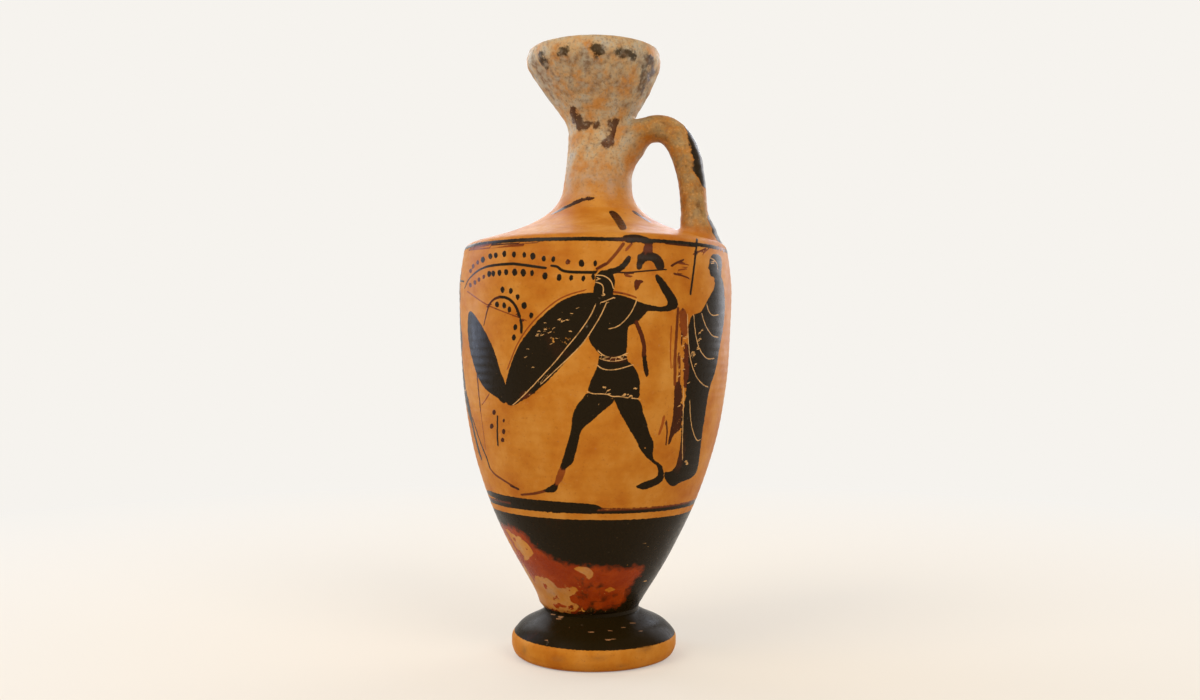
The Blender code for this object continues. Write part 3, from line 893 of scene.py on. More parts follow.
    def onlooker(self) -> list[Mark]:
        """The cloaked onlooker at the right, with a staff.

        Returns:
            The outlines and strokes, then the chips and incised lines.
        """
        head = [(34.9, 129.7), (36.2, 129.3), (36.9, 127.8), (36.8, 125.6), (36.6, 123.4), (37, 121),
                (34.5, 121),
                (34.7, 122.8), (33.7, 122.9), (33.2, 123.9), (33.4, 124.7), (32.6, 125.5), (33.2, 126.7),
                (33.2, 128.2),
                (33.9, 129.4)]
        cloak = [(28.2, 111.6), (30, 112), (31.2, 112.8), (32, 114.5), (33.3, 117), (34.6, 119), (35, 122.5),
                 (36.2, 124), (37.5, 121), (38, 115), (37.8, 109), (36.4, 101), (35.4, 95), (33.5, 90),
                 (32.5, 83), (31.4, 76), (30.7, 70), (29.9, 65), (28, 63), (24.5, 62), (23, 60.4),
                 (20.5, 62.2), (20.1, 65.5), (21.5, 64.8), (23.3, 66), (24.3, 69), (25, 73), (25.5, 80),
                 (26.4, 88), (27.6, 95), (27.2, 103), (27.4, 109)]
        fold = [(23.2, 91.6), (25.4, 92), (25.8, 86), (25.5, 80), (24.6, 77), (23, 76), (22.1, 73.6),
                (21.2, 72.8),
                (22, 77), (22.9, 82), (23.2, 87)]
        stain = [(24.2, 113.6), (27, 113), (27.1, 105.4), (25.8, 104.6), (24.9, 107)]
        return [
            self.fill(head), self.fill(cloak), self.fill(fold, 0.25), self.fill(stain, 0.75),
            self.pull([(29.7, 134), (29.2, 130), (28.5, 124), (27.8, 117.8)], 0.85),
            self.pull([(24.2, 113.5), (23.8, 106), (23.4, 98), (23.4, 91)], 1.0, 1.2, 0.6),
            self.pull([(25.6, 113.2), (25.4, 108), (25.3, 103)], 0.8, 0.6, 0.4),
            self.fill([(25.9, 104), (27.4, 103), (27.6, 95), (26.8, 89.6), (25.9, 90), (26, 97)], 0.5),
            self.pull([(24.6, 100), (24.8, 95), (24.6, 91)], 1.0, 0.8, 0.55),
            self.pull([(22.3, 108), (22, 101), (22.3, 96)], 0.5, 0.4, 0.85),
            self.pull([(20.2, 81.4), (19.6, 78.5), (18.8, 76.4)], 1.1, 0.8, 0.85),
            self.pull([(20.9, 80), (21.2, 77), (20.8, 73.2)], 0.6, 0.5, 0.4),
            self.pull([(22.2, 126.1), (23.6, 127), (25.6, 127.8)], 0.8, 0.6, 0.4),
            self.pull([(24.4, 126.8), (27, 126.4)], 0.5, 0.4, 0.7), self.pull([(24.2, 124.8), (26.4, 125.2)],
                                                                              0.5, 0.4, 0.75),
            self.pull([(23, 123.7), (25, 123.3), (27.2, 122.4)], 0.7, 0.5, 0.5),
            self.pull([(28.6, 129.6), (30.4, 130.4), (32.2, 131.2)], 0.6, 0.5, 0.5),
            self.pull([(31.2, 129.6), (33.2, 131.4)], 0.5, 0.4, 0.75),
            *self.flecks([(28.7, 100.4), (29, 99.6), (26.6, 68.2), (26.9, 67.4)], 0.6),
            *self.flecks([(30.7, 104.4), (31.2, 107), (30.1, 101.4), (29.4, 97), (24.7, 84.6), (27.4, 91.4),
                          (30.6, 106.2),
                          (26, 95.4), (25.6, 98.6), (25.7, 102.4), (26.2, 104.6), (24.6, 93.4)], 0.4),
            *self.scratch(
                [(28.8, 111.5), (29.1, 107.5), (29.8, 103.5), (31, 100.5), (32.8, 98.4), (34.8, 98.7)],
                [(31.2, 111.8), (31.8, 109.5), (33, 107), (34.5, 105.2), (36, 105)],
                [(32.6, 114.5), (33.2, 112.5), (34.2, 111.3), (36, 111.6)],
                [(27, 111.5), (27, 108), (27.3, 104), (27.6, 100), (28.5, 96), (30, 92.5), (32, 90.6),
                 (33, 90.3)],
                [(27.8, 86), (27.9, 82), (28.3, 78.5), (29.2, 75.5), (30, 74.2), (30.8, 74.6)],
                [(26, 90), (25.9, 84), (25.6, 75), (25.6, 69)],
                [(33.7, 126.8), (34.4, 126.9)], [(33.5, 128.4), (34.7, 127.8), (35.5, 126.6),
                                                 (35.7, 124.6)]),
        ]

    def turned(self, points: Sequence[Point]) -> list[Point]:
        """Points of the fighter in the middle turned to face the other way, round the left of the wall."""
        return [(self.left_at - self.left_share * x, z) for x, z in points]

    def left_fighter(self) -> list[Mark]:
        """The fighter at the left, of which the front shows a leg and the berries before it.

        Returns:
            The part round the left of the wall, then what the front shows.
        """
        shapes, cuts = self.striding()
        hidden = [Mark(Tool.FILL, self.turned(points), hidden=True) for points in shapes]
        crest = [(-59, 124.6), (-61, 127), (-64.5, 128.2), (-68, 126.8), (-69.6, 123), (-69.4, 119),
                 (-68.2, 119.4),
                 (-68, 122.6), (-66.4, 125.4), (-63.8, 126.2), (-61.4, 125)]
        hidden.append(Mark(Tool.FILL, crest, hidden=True))
        spear = [(-54, 123.4), (-64, 124.4), (-79, 125.2)]
        hidden.append(Mark(Tool.PULL, spear, 0.6, 0.5, hidden=True))
        return [
            *hidden, *(Mark(Tool.SCRATCH, self.turned(points), self.incised,
                            hidden=True) for points in cuts),
            *dots([(-30, 82.7), (-30.7, 78.6), (-27.2, 77)], 1.1, 1.6, 0.3),
            *dots([(-27.5, 74.5)], 1.2, 1.4, 0.3), *dots([(-27.2, 80.2)], 0.8, 1.2, 0.3),
            self.pull([(-29, 81.5), (-29.1, 77), (-28.9, 73)], 0.7, 0.8),
            self.pull([(-35, 94), (-34.5, 88), (-34, 83)], 0.8, 0.6, 0.35),
            self.pull([(-36.3, 81), (-34, 73.5), (-32, 69), (-31.3, 66.5)], 0.8, 0.9, 0.1),
            self.pull([(-31.3, 66.5), (-30, 64.5), (-27, 62.5), (-23, 60)], 0.9, 0.8, 0.6),
            self.pull([(-25, 61), (-22.7, 60)], 0.9, 0.7, 0.1),
            self.pull([(-34, 83.5), (-32.5, 72)], 0.4, 0.35, 0.75),
            self.pull([(-31.5, 88), (-33.5, 85)], 0.5, 0.35, 0.7),
        ]

    def shoulder(self) -> list[Mark]:
        """The loose strokes that are left of the shoulder's ornament. The last is a slip ray whose broad
        start is painted shade at the shoulder's right silhouette.

        Returns:
            The strokes.
        """
        return [
            self.fill([(-13.4, 140.9), (-10, 142.7), (-6, 145), (-3, 146.5), (-0.4, 146.6), (0.2, 145.9),
                       (-2.4, 145.5),
                       (-6, 144), (-10, 142)], 0.2),
            self.fill([(3.5, 142.3), (5.3, 142.4), (7, 140.9), (8.4, 139), (9.4, 137.2), (8.4, 136.5),
                       (7, 136.8), (6, 138.8),
                       (4.4, 140.8)], 0.2),
            # Partly painted shade: the broad start of this pull paints the dark shading where the shoulder
            # turns away at its right silhouette, and the rest is a slip ray.
            self.pull([(11.2, 141.8), (13, 140.6), (15.4, 139.2)], 2.4, 1.8, 0.3),
        ]

    def edge(self) -> list[Mark]:
        """The thin streaks that a dry brush left under the band at the shoulder's edge.

        Returns:
            The streaks.
        """
        return [
            self.pull([(-29.6, 133.3), (-24, 133.6), (-15.6, 133.8)], 0.6, 0.4, 0.4),
            self.pull([(-31, 132.2), (-23, 132.7), (-16.6, 133)], 0.5, 0.4, 0.55),
            self.pull([(-37, 130.8), (-30, 131.5), (-21, 132)], 0.5, 0.3, 0.75),
            self.pull([(-36.4, 131.6), (-33.4, 132.3), (-31, 132.4)], 1.2, 0.9, 0.7),
            self.pull([(-13.4, 133.8), (-11, 134)], 0.6, 0.4, 0.2), self.pull([(-9.8, 134), (-7.6, 134.2)],
                                                                              0.5, 0.5, 0.3),
            self.pull([(-6.2, 134.2), (-2, 134.3)], 0.4, 0.5, 0.4),
                self.pull([(20.4, 132.8), (25, 132.2), (29.4, 131.8)], 0.7, 0.5, 0.3),
        ]

    def wedge(self) -> Mark:
        """The wedge of slip over the lines under the frieze, where the brush was set down."""
        return self.fill([(-32, 60), (-28, 58.3), (-20, 57), (-10, 56.2), (0, 55.6), (2.4, 54.4), (0, 53.4),
                          (-10, 53),
                          (-20, 53.9), (-28, 56.6), (-31.5, 58.4)])

    def marks(self) -> list[Mark]:
        """Every mark of the frieze and the shoulder, in the order in which they are painted."""
        return [*self.vines(), *self.left_fighter(), *self.shields(), *self.fighter(), *self.onlooker(),
                *self.shoulder(), *self.edge()]


class Wear:
    """What firing, burial and handling did to the painted front."""

    def fired_red(self) -> list[Mark]:
        """The part of the lower wall where the black fired red, in front and round the left of it.

        Returns:
            The two areas.
        """
        front = [(-33, 50), (-26.5, 49.6), (-22.3, 48), (-20, 45.8), (-17.7, 43), (-15, 41.2), (-12, 39.3),
                 (-9, 38),
                 (-6.5, 37.3), (0, 36.9), (5, 36.7), (9.7, 36.5), (13.4, 37.4), (13.6, 35.6), (11.8, 33.6),
                 (9.6, 31), (8.6, 28),
                 (7, 25.6), (2, 25), (-3, 24.6), (-8, 22), (-12, 21), (-20, 21), (-26, 40)]
        left = [(-44, 18), (-44, 36), (-50, 40), (-56, 42.5), (-61, 43.5), (-65, 42), (-67, 38.5), (-66, 34),
                (-69.5, 30),
                (-71, 25.5), (-68.5, 21.5), (-70, 17), (-60, 16), (-50, 16)]
        return [Mark(Tool.RED, front), Mark(Tool.RED, left, hidden=True)]

    def rubbed(self) -> list[Mark]:
        """Places where the slip has come away to the clay, and what is left of it there.

        Returns:
            The bared places, the slip left in them, and the black left in the red.
        """
        bared = ([(-26.4, 48.6), (-25, 47.8), (-23.6, 46.4), (-22.4, 46.2), (-21, 44.9), (-19.6, 43.9),
                  (-18.7, 42.4),
                  (-17.2, 41), (-18.4, 40.9), (-19, 39.2), (-20.2, 38.6), (-20.6, 40.4), (-21.8, 41.4),
                  (-22.9, 42.9),
                  (-23.9, 44.9), (-25.4, 47)],
                 [(-6.9, 37.1), (-3.8, 37.1), (-2, 36.9), (-0.4, 35.5), (-0.6, 34.2), (-2, 33.2),
                  (-2.8, 33.5), (-2.4, 34.4),
                  (-3.8, 35.1), (-5.6, 36)],
                 [(-17.6, 35), (-15.5, 34), (-13.2, 33.3), (-12.1, 32.2), (-11.4, 30.8), (-9.6, 30.6),
                  (-7.8, 30.6), (-6, 31),
                  (-4.4, 31.4), (-4.6, 30.3), (-5.6, 29.5), (-6.9, 28.6), (-7.4, 27.4), (-6.5, 26.5),
                  (-5.1, 25.9), (-3.2, 25),
                  (-3.8, 24.2), (-6, 24), (-7.4, 22), (-9.4, 21.6), (-12, 22.2), (-14.4, 24), (-15.6, 27.6),
                  (-17, 31)],
                 [(2.2, 30.3), (4.1, 31.3), (6.7, 30.6), (5.2, 30), (3.4, 29.8)],
                 [(2.4, 28.8), (4.2, 29), (4, 28.2)])
        left = ([(-50, 17), (-50, 29), (-55, 31.4), (-58, 29), (-61, 29.6), (-63.5, 25.6), (-61, 22),
                 (-62.5, 18)],
                [(-52, 36), (-55, 40), (-59, 41.4), (-62.5, 39.4), (-61.5, 35.6), (-58.6, 37), (-55, 33.4)])
        islands = ([(-12, 28.6), (-10, 28.3), (-10.2, 27.5), (-12, 27.6)], [(-10.2, 27.4), (-8.8, 27.2),
                                                                            (-9.4, 26.4)],
                   [(-12, 26.4), (-8.4, 26), (-8, 25.2), (-11.8, 25.3)], [(-14.8, 32), (-13.6, 31.8),
                                                                          (-13.4, 30.4), (-14.4, 30.6)],
                   [(-24.2, 46), (-23.2, 45.6), (-22.2, 43.8), (-22.7, 43.9)],
                   [(-20.8, 43.5), (-19.5, 42.3), (-19.9, 42.2)])
        notch = [(14.4, 36), (12.6, 34.6), (10.6, 32.2), (9.2, 29.4), (8.4, 28), (10.4, 28.8), (12.4, 31.2),
                 (14.4, 33.6)]
        black = [(-13.2, 23.4), (-11.4, 22.6), (-9.2, 22.6), (-8.2, 23.6), (-6.4, 23.2), (-14.2, 25.2),
                 (-6.8, 25.2), (-12.4, 24.4), (-10.4, 23.8), (-4.6, 24.6)]
        specks = [(-4.4, 33), (-1.6, 31.4), (1.4, 30.9), (2.6, 27.4), (-0.8, 25.9), (5.8, 28.6),
                  (-3.6, 28.3)]
        return [*(Mark(Tool.RUB, points) for points in bared),
                *(Mark(Tool.RUB, points, hidden=True) for points in left),
                *(Mark(Tool.FILL, points) for points in islands), Mark(Tool.BLACK, notch),
                *dots(black, 1.3, 1.1, tool=Tool.BLACK), *dots(specks, 0.8, 0.7, tool=Tool.BLACK),
                *self.chips(0.5, (-9.6, 47.3), (14, 44.1), (14, 32.8))]

    def chips(self, width: float, *places: Point) -> list[Mark]:
        """Small level scrapes through the slip, three times as long as they are wide."""
        return [Mark(Tool.SCRATCH, [(x - width, z), (x + width, z)], width) for x, z in places]

    def foot_marks(self) -> list[Mark]:
        """The scrapes on the foot's top, and the end of the bared patch above it.

        Returns:
            The scrapes.
        """
        return [*self.chips(0.55, (-1.3, 17.6), (11, 20.3), (3.8, 15.3)), *self.chips(0.35, (5.4, 15.5),
                                                                                      (8.3, 19), (4.4, 18)),
                *self.chips(0.3, (-14.4, 15.2), (13.5, 17.9), (-4.7, 22.6)),
                *self.chips(0.5, (-12, 22.9), (-9.8, 22.3), (-7.8, 22.6), (-10.6, 21.6))]

    def foot_stains(self) -> list[Wash]:
        """Soft dark stains on the foot's edge.

        Returns:
            The stains.
        """
        return [Wash("dust", (-11, 9.6), (2.2, 0.8), 0.7), Wash("dust", (1, 9.8), (3.0, 0.8), 0.5),
                Wash("dust", (15, 12.8), (3.0, 1.0), 0.7), Wash("dust", (-21, 12), (1.6, 1.6), 0.4),
                Wash("dust", (8, 7.6), (2.0, 0.6), 0.4)]

    def washes(self) -> list[Wash]:
        """Soft patches of thin slip and of flaking.

        Returns:
            The patches.
        """
        return [
            Wash("worn", (37, 131.4), (5, 1.6), 0.25), Wash("thin", (37, 131.4), (5, 1.6), 0.8),
            Wash("worn", (-12, 105.5), (6, 4), 0.26), Wash("worn", (-20, 88), (3, 2), 0.25),
            Wash("worn", (25.2, 102), (2, 13), 0.3), Wash("worn", (25, 82), (2, 12), 0.2),
            Wash("worn", (-6, 30), (11, 5), 0.24), Wash("worn", (-14, 29), (7, 9), 0.32),
                Wash("worn", (-22, 43), (4, 6), 0.3),
            Wash("dust", (-12, 30), (7, 8), 0.3), Wash("dust", (-22, 43), (4, 7), 0.25),
                Wash("dust", (-3, 35), (4, 3), 0.3),
            Wash("worn", (-4, 24), (12, 2.0), 0.3), Wash("worn", (-12, 52.5), (4, 1.2), 0.2),
            Wash("worn", (-57, 30), (12, 14), 0.3, True), Wash("dust", (-56, 28), (9, 12), 0.3, True),
            Wash("thin", (25, 70), (2, 6), 0.3), Wash("thin", (-20, 87), (3, 2), 0.5),
            Wash("thin", (6, 98.4), (4, 1.0), 0.4), Wash("thin", (8, 131), (3, 3), 0.35),
        ]


# Finishes.

def linear(colour: str) -> tuple[float, float, float, float]:
    """A colour given as an sRGB hex value, in linear light."""
    parts = [int(colour[k:k + 2], 16) / 255 for k in (1, 3, 5)]
    return (*(c / 12.92 if c <= 0.04045 else ((c + 0.055) / 1.055) ** 2.4 for c in parts), 1.0)


def add(tree: bpy.types.NodeTree, kind: str, feeds: dict | None = None, out: int | str = 0,
        **settings: object) -> bpy.types.NodeSocket:
    """Adds a node with its settings and links.

    Args:
        tree: the material's nodes.
        kind: the node's type.
        feeds: a value or another node's output for each input, by name or number.
        out: which output to hand back.
        settings: the node's own properties.

    Returns:
        The chosen output, or None for a node that has none.
    """
    node = tree.nodes.new(kind)
    for name, value in settings.items():
        setattr(node, name, value)
    for name, value in (feeds or {}).items():
        if isinstance(value, bpy.types.NodeSocket):
            tree.links.new(value, node.inputs[name])
        else:
            node.inputs[name].default_value = value
    return node.outputs[out] if len(node.outputs) else None


@dataclass(frozen=True)
class Ramp:
    """A straight ramp from one range of values to another."""

    low: float
    high: float
    least: float = 0.0
    most: float = 1.0

    def feeds(self, value: bpy.types.NodeSocket) -> dict[str, object]:
        """The inputs of a node that puts a value through the ramp."""
        return {"Value": value, "From Min": self.low, "From Max": self.high, "To Min": self.least,
                "To Max": self.most}


Layers = tuple[tuple[str, str, Ramp], ...]


@dataclass(frozen=True)
class PaintedEarthenware:
    """Low-fired red clay with a burnished skin, painted with fine slip that fired black.

    The clay is a warm orange, clouded and specked. The slip is near black with a soft eggshell sheen,
    ragged at its edges, red-brown where it is thin, and flaked where it was buried.
    A pattern has a name, a size in millimetres and a detail. A layer has the pattern that it follows,
    its colour's name, and the ramp from the pattern to the layer's share.
    """

    name: str
    clay: str = "#b87424"
    clay_pale: str = "#c78b3d"
    clay_deep: str = "#a85f15"
    speck: str = "#84481a"
    slip: str = "#1f1606"
    slip_brown: str = "#55260f"
    slip_amber: str = "#9c4f18"
    slip_red: str = "#8a310a"
    slip_red_pale: str = "#993c0d"
    bare: str = "#c99a60"
    dust: str = "#b99f78"
    dust_warm: str = "#ba8d5a"
    dust_grey: str = "#b0a693"
    pit: str = "#765f49"
    soil: str = "#e2c89b"
    crust: str = "#a59a86"
    crust_dark: str = "#7a604a"
    clay_roughness: float = 0.44
    slip_roughness: float = 0.28
    specular: float = 0.07
    patterns: tuple[tuple[str, float, float], ...] = (
        ("cloud", 12.0, 4.0), ("patch", 5.5, 4.0), ("grain", 0.9, 3.0), ("fray", 0.9, 2.0),
                                                      ("flake", 2.0, 6.0),
        ("crust", 2.8, 6.0))
    pattern_roughness: float = 0.6
    groove: Point = (1.6, 3.0)
    groove_stretch: tuple[float, float, float] = (0.06, 0.06, 1.0)
    clay_layers: Layers = (
        ("cloud", "clay_deep", Ramp(0.5, 0.3)), ("cloud", "clay_pale", Ramp(0.5, 0.75)),
        ("grain", "speck", Ramp(0.60, 0.74, most=0.4)), ("flake", "bare", Ramp(0.62, 0.8, most=0.3)))
    dust_layers: Layers = (("patch", "dust_warm", Ramp(0.50, 0.38)), ("patch", "dust_grey",
                                                                      Ramp(0.52, 0.64)))
    dusty_spots: Layers = (("grain", "pit", Ramp(0.53, 0.66, most=0.6)), ("grain", "bare",
                                                                          Ramp(0.44, 0.34, most=0.6)))
    slip_layers: Layers = (("thin", "slip_brown", Ramp(0.32, 0.7)), ("thin", "slip_amber", Ramp(0.75, 1.2)))
    red_layers: Layers = (("patch", "slip_red_pale", Ramp(0.42, 0.62)),)
    crust_layers: Layers = (("flake", "crust", Ramp(0.4, 0.6)),)
    frayed: Ramp = Ramp(0.25, 0.75, -0.11, 0.11)
    ragged: Ramp = Ramp(0.3, 0.7, -1.0, 1.0)
    loosened: float = 4.0
    edge_soft: float = 0.07
    edge_dusty: float = 0.35
    stroke: Ramp = Ramp(1.25, 0.75)
    stroke_near: Ramp = Ramp(0.62, 0.46)
    flaking: float = 0.6
    whole: Ramp = Ramp(0.80, 0.74)
    chipping: float = 0.35
    chipped: Ramp = Ramp(0.74, 0.80)
    red_stray: float = 1.3
    red_edge: Ramp = Ramp(1.2, -1.2)
    cut_broken: Ramp = Ramp(0.36, 0.5, least=0.45)
    dust_film: Ramp = Ramp(0.34, 0.58, 0.55, 1.1)
    dust_on_slip: float = 0.12
    caking: float = 0.45
    caked: Ramp = Ramp(0.68, 0.92, most=0.9)
    thin_cloud: float = 0.5
    roughness_spread: Ramp = Ramp(0.3, 0.7, -0.07, 0.09)
    crust_roughness: float = 0.85
    heights: tuple[tuple[str, float], ...] = (
        ("grain", 0.35), ("groove", 0.55), ("cut", -1.2), ("flake", 0.5), ("crust", 1.2))
    bump_strength: float = 0.45
    bump_mm: float = 0.08

    def noises(self, tree: bpy.types.NodeTree) -> dict[str, bpy.types.NodeSocket]:
        """The finish's patterns, on the object's own coordinates.

        Args:
            tree: the material's nodes.

        Returns:
            Each pattern by name.
        """
        where = add(tree, "ShaderNodeTexCoord", out="Object")
        found = {name: add(tree, "ShaderNodeTexNoise", {"Vector": where, "Scale": 1 / (size * MM),
                                                        "Detail": detail,
                                                        "Roughness": self.pattern_roughness})
                 for name, size, detail in self.patterns}
        size, detail = self.groove
        turned = add(tree, "ShaderNodeMapping", {"Vector": where, "Scale": self.groove_stretch})
        found["groove"] = add(tree, "ShaderNodeTexNoise", {"Vector": turned, "Scale": 1 / (size * MM),
                                                           "Detail": detail})
        return found

    def material(self) -> bpy.types.Material:
        """Builds the material.

        Returns:
            The new material.
        """
        material = bpy.data.materials.new(self.name)
        material.use_nodes = True
        tree = material.node_tree
        shader = tree.nodes["Principled BSDF"]
        noises = self.noises(tree)
        read = {name: add(tree, "ShaderNodeAttribute", out="Fac",
                          attribute_name=name) for name in Canvas.FIELDS}
        masks = self.masks(tree, noises, read)
        colour = self.colour(tree, noises, read, masks)
        shader.inputs["Specular IOR Level"].default_value = self.specular
        tree.links.new(colour, shader.inputs["Base Color"])
        tree.links.new(self.roughness(tree, noises, masks), shader.inputs["Roughness"])
        tree.links.new(self.relief(tree, noises, masks), shader.inputs["Normal"])
        return material

    def masks(self, tree: bpy.types.NodeTree, noises: dict, read: dict) -> dict[str, bpy.types.NodeSocket]:
        """Where slip, red slip, incised lines, dust and crust show, from nought to one.

        Args:
            tree: the material's nodes.
            noises: the finish's patterns.
            read: the painting's fields.

        Returns:
            Each mask by name.
        """
        fray = add(tree, "ShaderNodeMapRange", self.frayed.feeds(noises["fray"]), clamp=False)
        ragged = add(tree, "ShaderNodeMapRange", self.ragged.feeds(noises["flake"]), clamp=False)
        edge = add(tree, "ShaderNodeMath", {0: read["slip"], 1: fray}, operation="ADD")
        loose = add(tree, "ShaderNodeMath", {0: read["worn"], 1: self.loosened}, operation="MULTIPLY")
        edge = add(tree, "ShaderNodeMath", {0: loose, 1: ragged, 2: edge}, operation="MULTIPLY_ADD")
        soft = add(tree, "ShaderNodeMath", {0: read["dust"], 1: self.edge_dusty, 2: self.edge_soft},
                   operation="MULTIPLY_ADD")
        hard = add(tree, "ShaderNodeMath", {0: soft, 1: -1.0}, operation="MULTIPLY")
        cover = add(tree, "ShaderNodeMapRange", {"Value": edge, "From Min": soft, "From Max": hard})
        drawn = {}
        for name in ("brush", "graver"):
            size = add(tree, "ShaderNodeMath", {0: read[name]}, operation="ABSOLUTE")
            uneven = add(tree, "ShaderNodeMath", {0: size, 1: fray}, operation="ADD")
            line = add(tree, "ShaderNodeMapRange", self.stroke.feeds(uneven))
            close = add(tree, "ShaderNodeMapRange", self.stroke_near.feeds(read[name + "_near"]))
            drawn[name] = add(tree, "ShaderNodeMath", {0: line, 1: close}, operation="MULTIPLY")
        painted = add(tree, "ShaderNodeMath", {0: cover, 1: drawn["brush"]}, operation="MAXIMUM")
        shares = {}
        for name, field, amount, pattern, ramp in (
                ("whole", "worn", self.flaking, "flake", self.whole),
                ("chips", "worn", self.chipping, "grain", self.chipped),
                ("crust", "crust", self.caking, "crust", self.caked)):
            value = add(tree, "ShaderNodeMath", {0: read[field], 1: amount, 2: noises[pattern]},
                        operation="MULTIPLY_ADD")
            shares[name] = add(tree, "ShaderNodeMapRange", ramp.feeds(value))
        slip = add(tree, "ShaderNodeMath", {0: painted, 1: shares["whole"]}, operation="MULTIPLY")
        stray = add(tree, "ShaderNodeMath", {0: loose, 1: self.red_stray}, operation="ADD")
        red = add(tree, "ShaderNodeMath", {0: stray, 1: ragged, 2: read["red"]}, operation="MULTIPLY_ADD")
        red = add(tree, "ShaderNodeMapRange", self.red_edge.feeds(red))
        broken = add(tree, "ShaderNodeMapRange", self.cut_broken.feeds(noises["flake"]))
        cut = add(tree, "ShaderNodeMath", {0: drawn["graver"], 1: broken}, operation="MULTIPLY")
        chips = add(tree, "ShaderNodeMath", {0: shares["chips"], 1: slip}, operation="MULTIPLY")
        cut = add(tree, "ShaderNodeMath", {0: cut, 1: chips}, operation="MAXIMUM")
        film = add(tree, "ShaderNodeMapRange", self.dust_film.feeds(noises["patch"]))
        dust = add(tree, "ShaderNodeMath", {0: read["dust"], 1: film}, operation="MULTIPLY", use_clamp=True)
        return {"slip": slip, "cut": cut, "red": red, "dust": dust, "crust": shares["crust"]}

    def layered(self, tree: bpy.types.NodeTree, base: object, layers: Layers, sources: dict,
                within: bpy.types.NodeSocket | None = None) -> bpy.types.NodeSocket:
        """Lays colours over another one.

        Args:
            tree: the material's nodes.
            base: the colour underneath.
            layers: what is laid over it, in order.
            sources: the patterns by name.
            within: where the layers show, or None for everywhere.

        Returns:
            The layered colour.
        """
        for source, colour, ramp in layers:
            share = add(tree, "ShaderNodeMapRange", ramp.feeds(sources[source]))
            if within is not None:
                share = add(tree, "ShaderNodeMath", {0: share, 1: within}, operation="MULTIPLY")
            over = linear(getattr(self, colour))
            base = add(tree, "ShaderNodeMix", {0: share, 6: base, 7: over}, 2, data_type="RGBA")
        return base

    def colour(self, tree: bpy.types.NodeTree, noises: dict, read: dict,
               masks: dict) -> bpy.types.NodeSocket:
        """The surface's colour.

        Args:
            tree: the material's nodes.
            noises: the finish's patterns.
            read: the painting's fields.
            masks: where slip, red slip, incised lines and crust show.

        Returns:
            The colour.
        """
        thin = add(tree, "ShaderNodeMath", {0: noises["cloud"], 1: self.thin_cloud, 2: read["thin"]},
                   operation="MULTIPLY_ADD")
        dust = self.layered(tree, linear(self.dust), self.dust_layers, noises)
        crust = self.layered(tree, linear(self.crust_dark), self.crust_layers, noises)
        dust, crust = (add(tree, "ShaderNodeMix", {0: read["soil"], 6: clean, 7: linear(self.soil)}, 2,
                           data_type="RGBA", blend_type="MULTIPLY") for clean in (dust, crust))
        clay = self.layered(tree, linear(self.clay), self.clay_layers, noises)
        clay = add(tree, "ShaderNodeMix", {0: masks["dust"], 6: clay, 7: dust}, 2, data_type="RGBA")
        clay = self.layered(tree, clay, self.dusty_spots, noises, masks["dust"])
        slip = self.layered(tree, linear(self.slip), self.slip_layers, {"thin": thin})
        red = self.layered(tree, linear(self.slip_red), self.red_layers, noises)
        film = add(tree, "ShaderNodeMath", {0: masks["dust"], 1: self.dust_on_slip}, operation="MULTIPLY")
        for share, over in ((film, dust), (masks["red"], red)):
            slip = add(tree, "ShaderNodeMix", {0: share, 6: slip, 7: over}, 2, data_type="RGBA")
        skin = clay
        for name, over in (("slip", slip), ("cut", linear(self.bare)), ("crust", crust)):
            skin = add(tree, "ShaderNodeMix", {0: masks[name], 6: skin, 7: over}, 2, data_type="RGBA")
        return skin

    def roughness(self, tree: bpy.types.NodeTree, noises: dict, masks: dict) -> bpy.types.NodeSocket:
        """The surface's roughness.

        Args:
            tree: the material's nodes.
            noises: the finish's patterns.
            masks: where slip and crust show.

        Returns:
            The roughness.
        """
        base = add(tree, "ShaderNodeMix", {0: masks["slip"], 2: self.clay_roughness, 3: self.slip_roughness})
        spread = add(tree, "ShaderNodeMapRange", self.roughness_spread.feeds(noises["flake"]), clamp=False)
        uneven = add(tree, "ShaderNodeMath", {0: base, 1: spread}, operation="ADD")
        return add(tree, "ShaderNodeMix", {0: masks["crust"], 2: uneven, 3: self.crust_roughness})

    def relief(self, tree: bpy.types.NodeTree, noises: dict, masks: dict) -> bpy.types.NodeSocket:
        """The fine relief: grain, wheel marks, the slip's own thickness, scratches and crust.

        Args:
            tree: the material's nodes.
            noises: the finish's patterns.
            masks: where slip, incised lines and crust show.

        Returns:
            The bent normal.
        """
        sources = {**noises, **masks}
        height = masks["slip"]
        for name, share in self.heights:
            height = add(tree, "ShaderNodeMath", {0: sources[name], 1: share, 2: height},
                         operation="MULTIPLY_ADD")
        return add(tree, "ShaderNodeBump", {"Height": height, "Strength": self.bump_strength,
                                            "Distance": self.bump_mm * MM})


# Building and dressing the pieces.

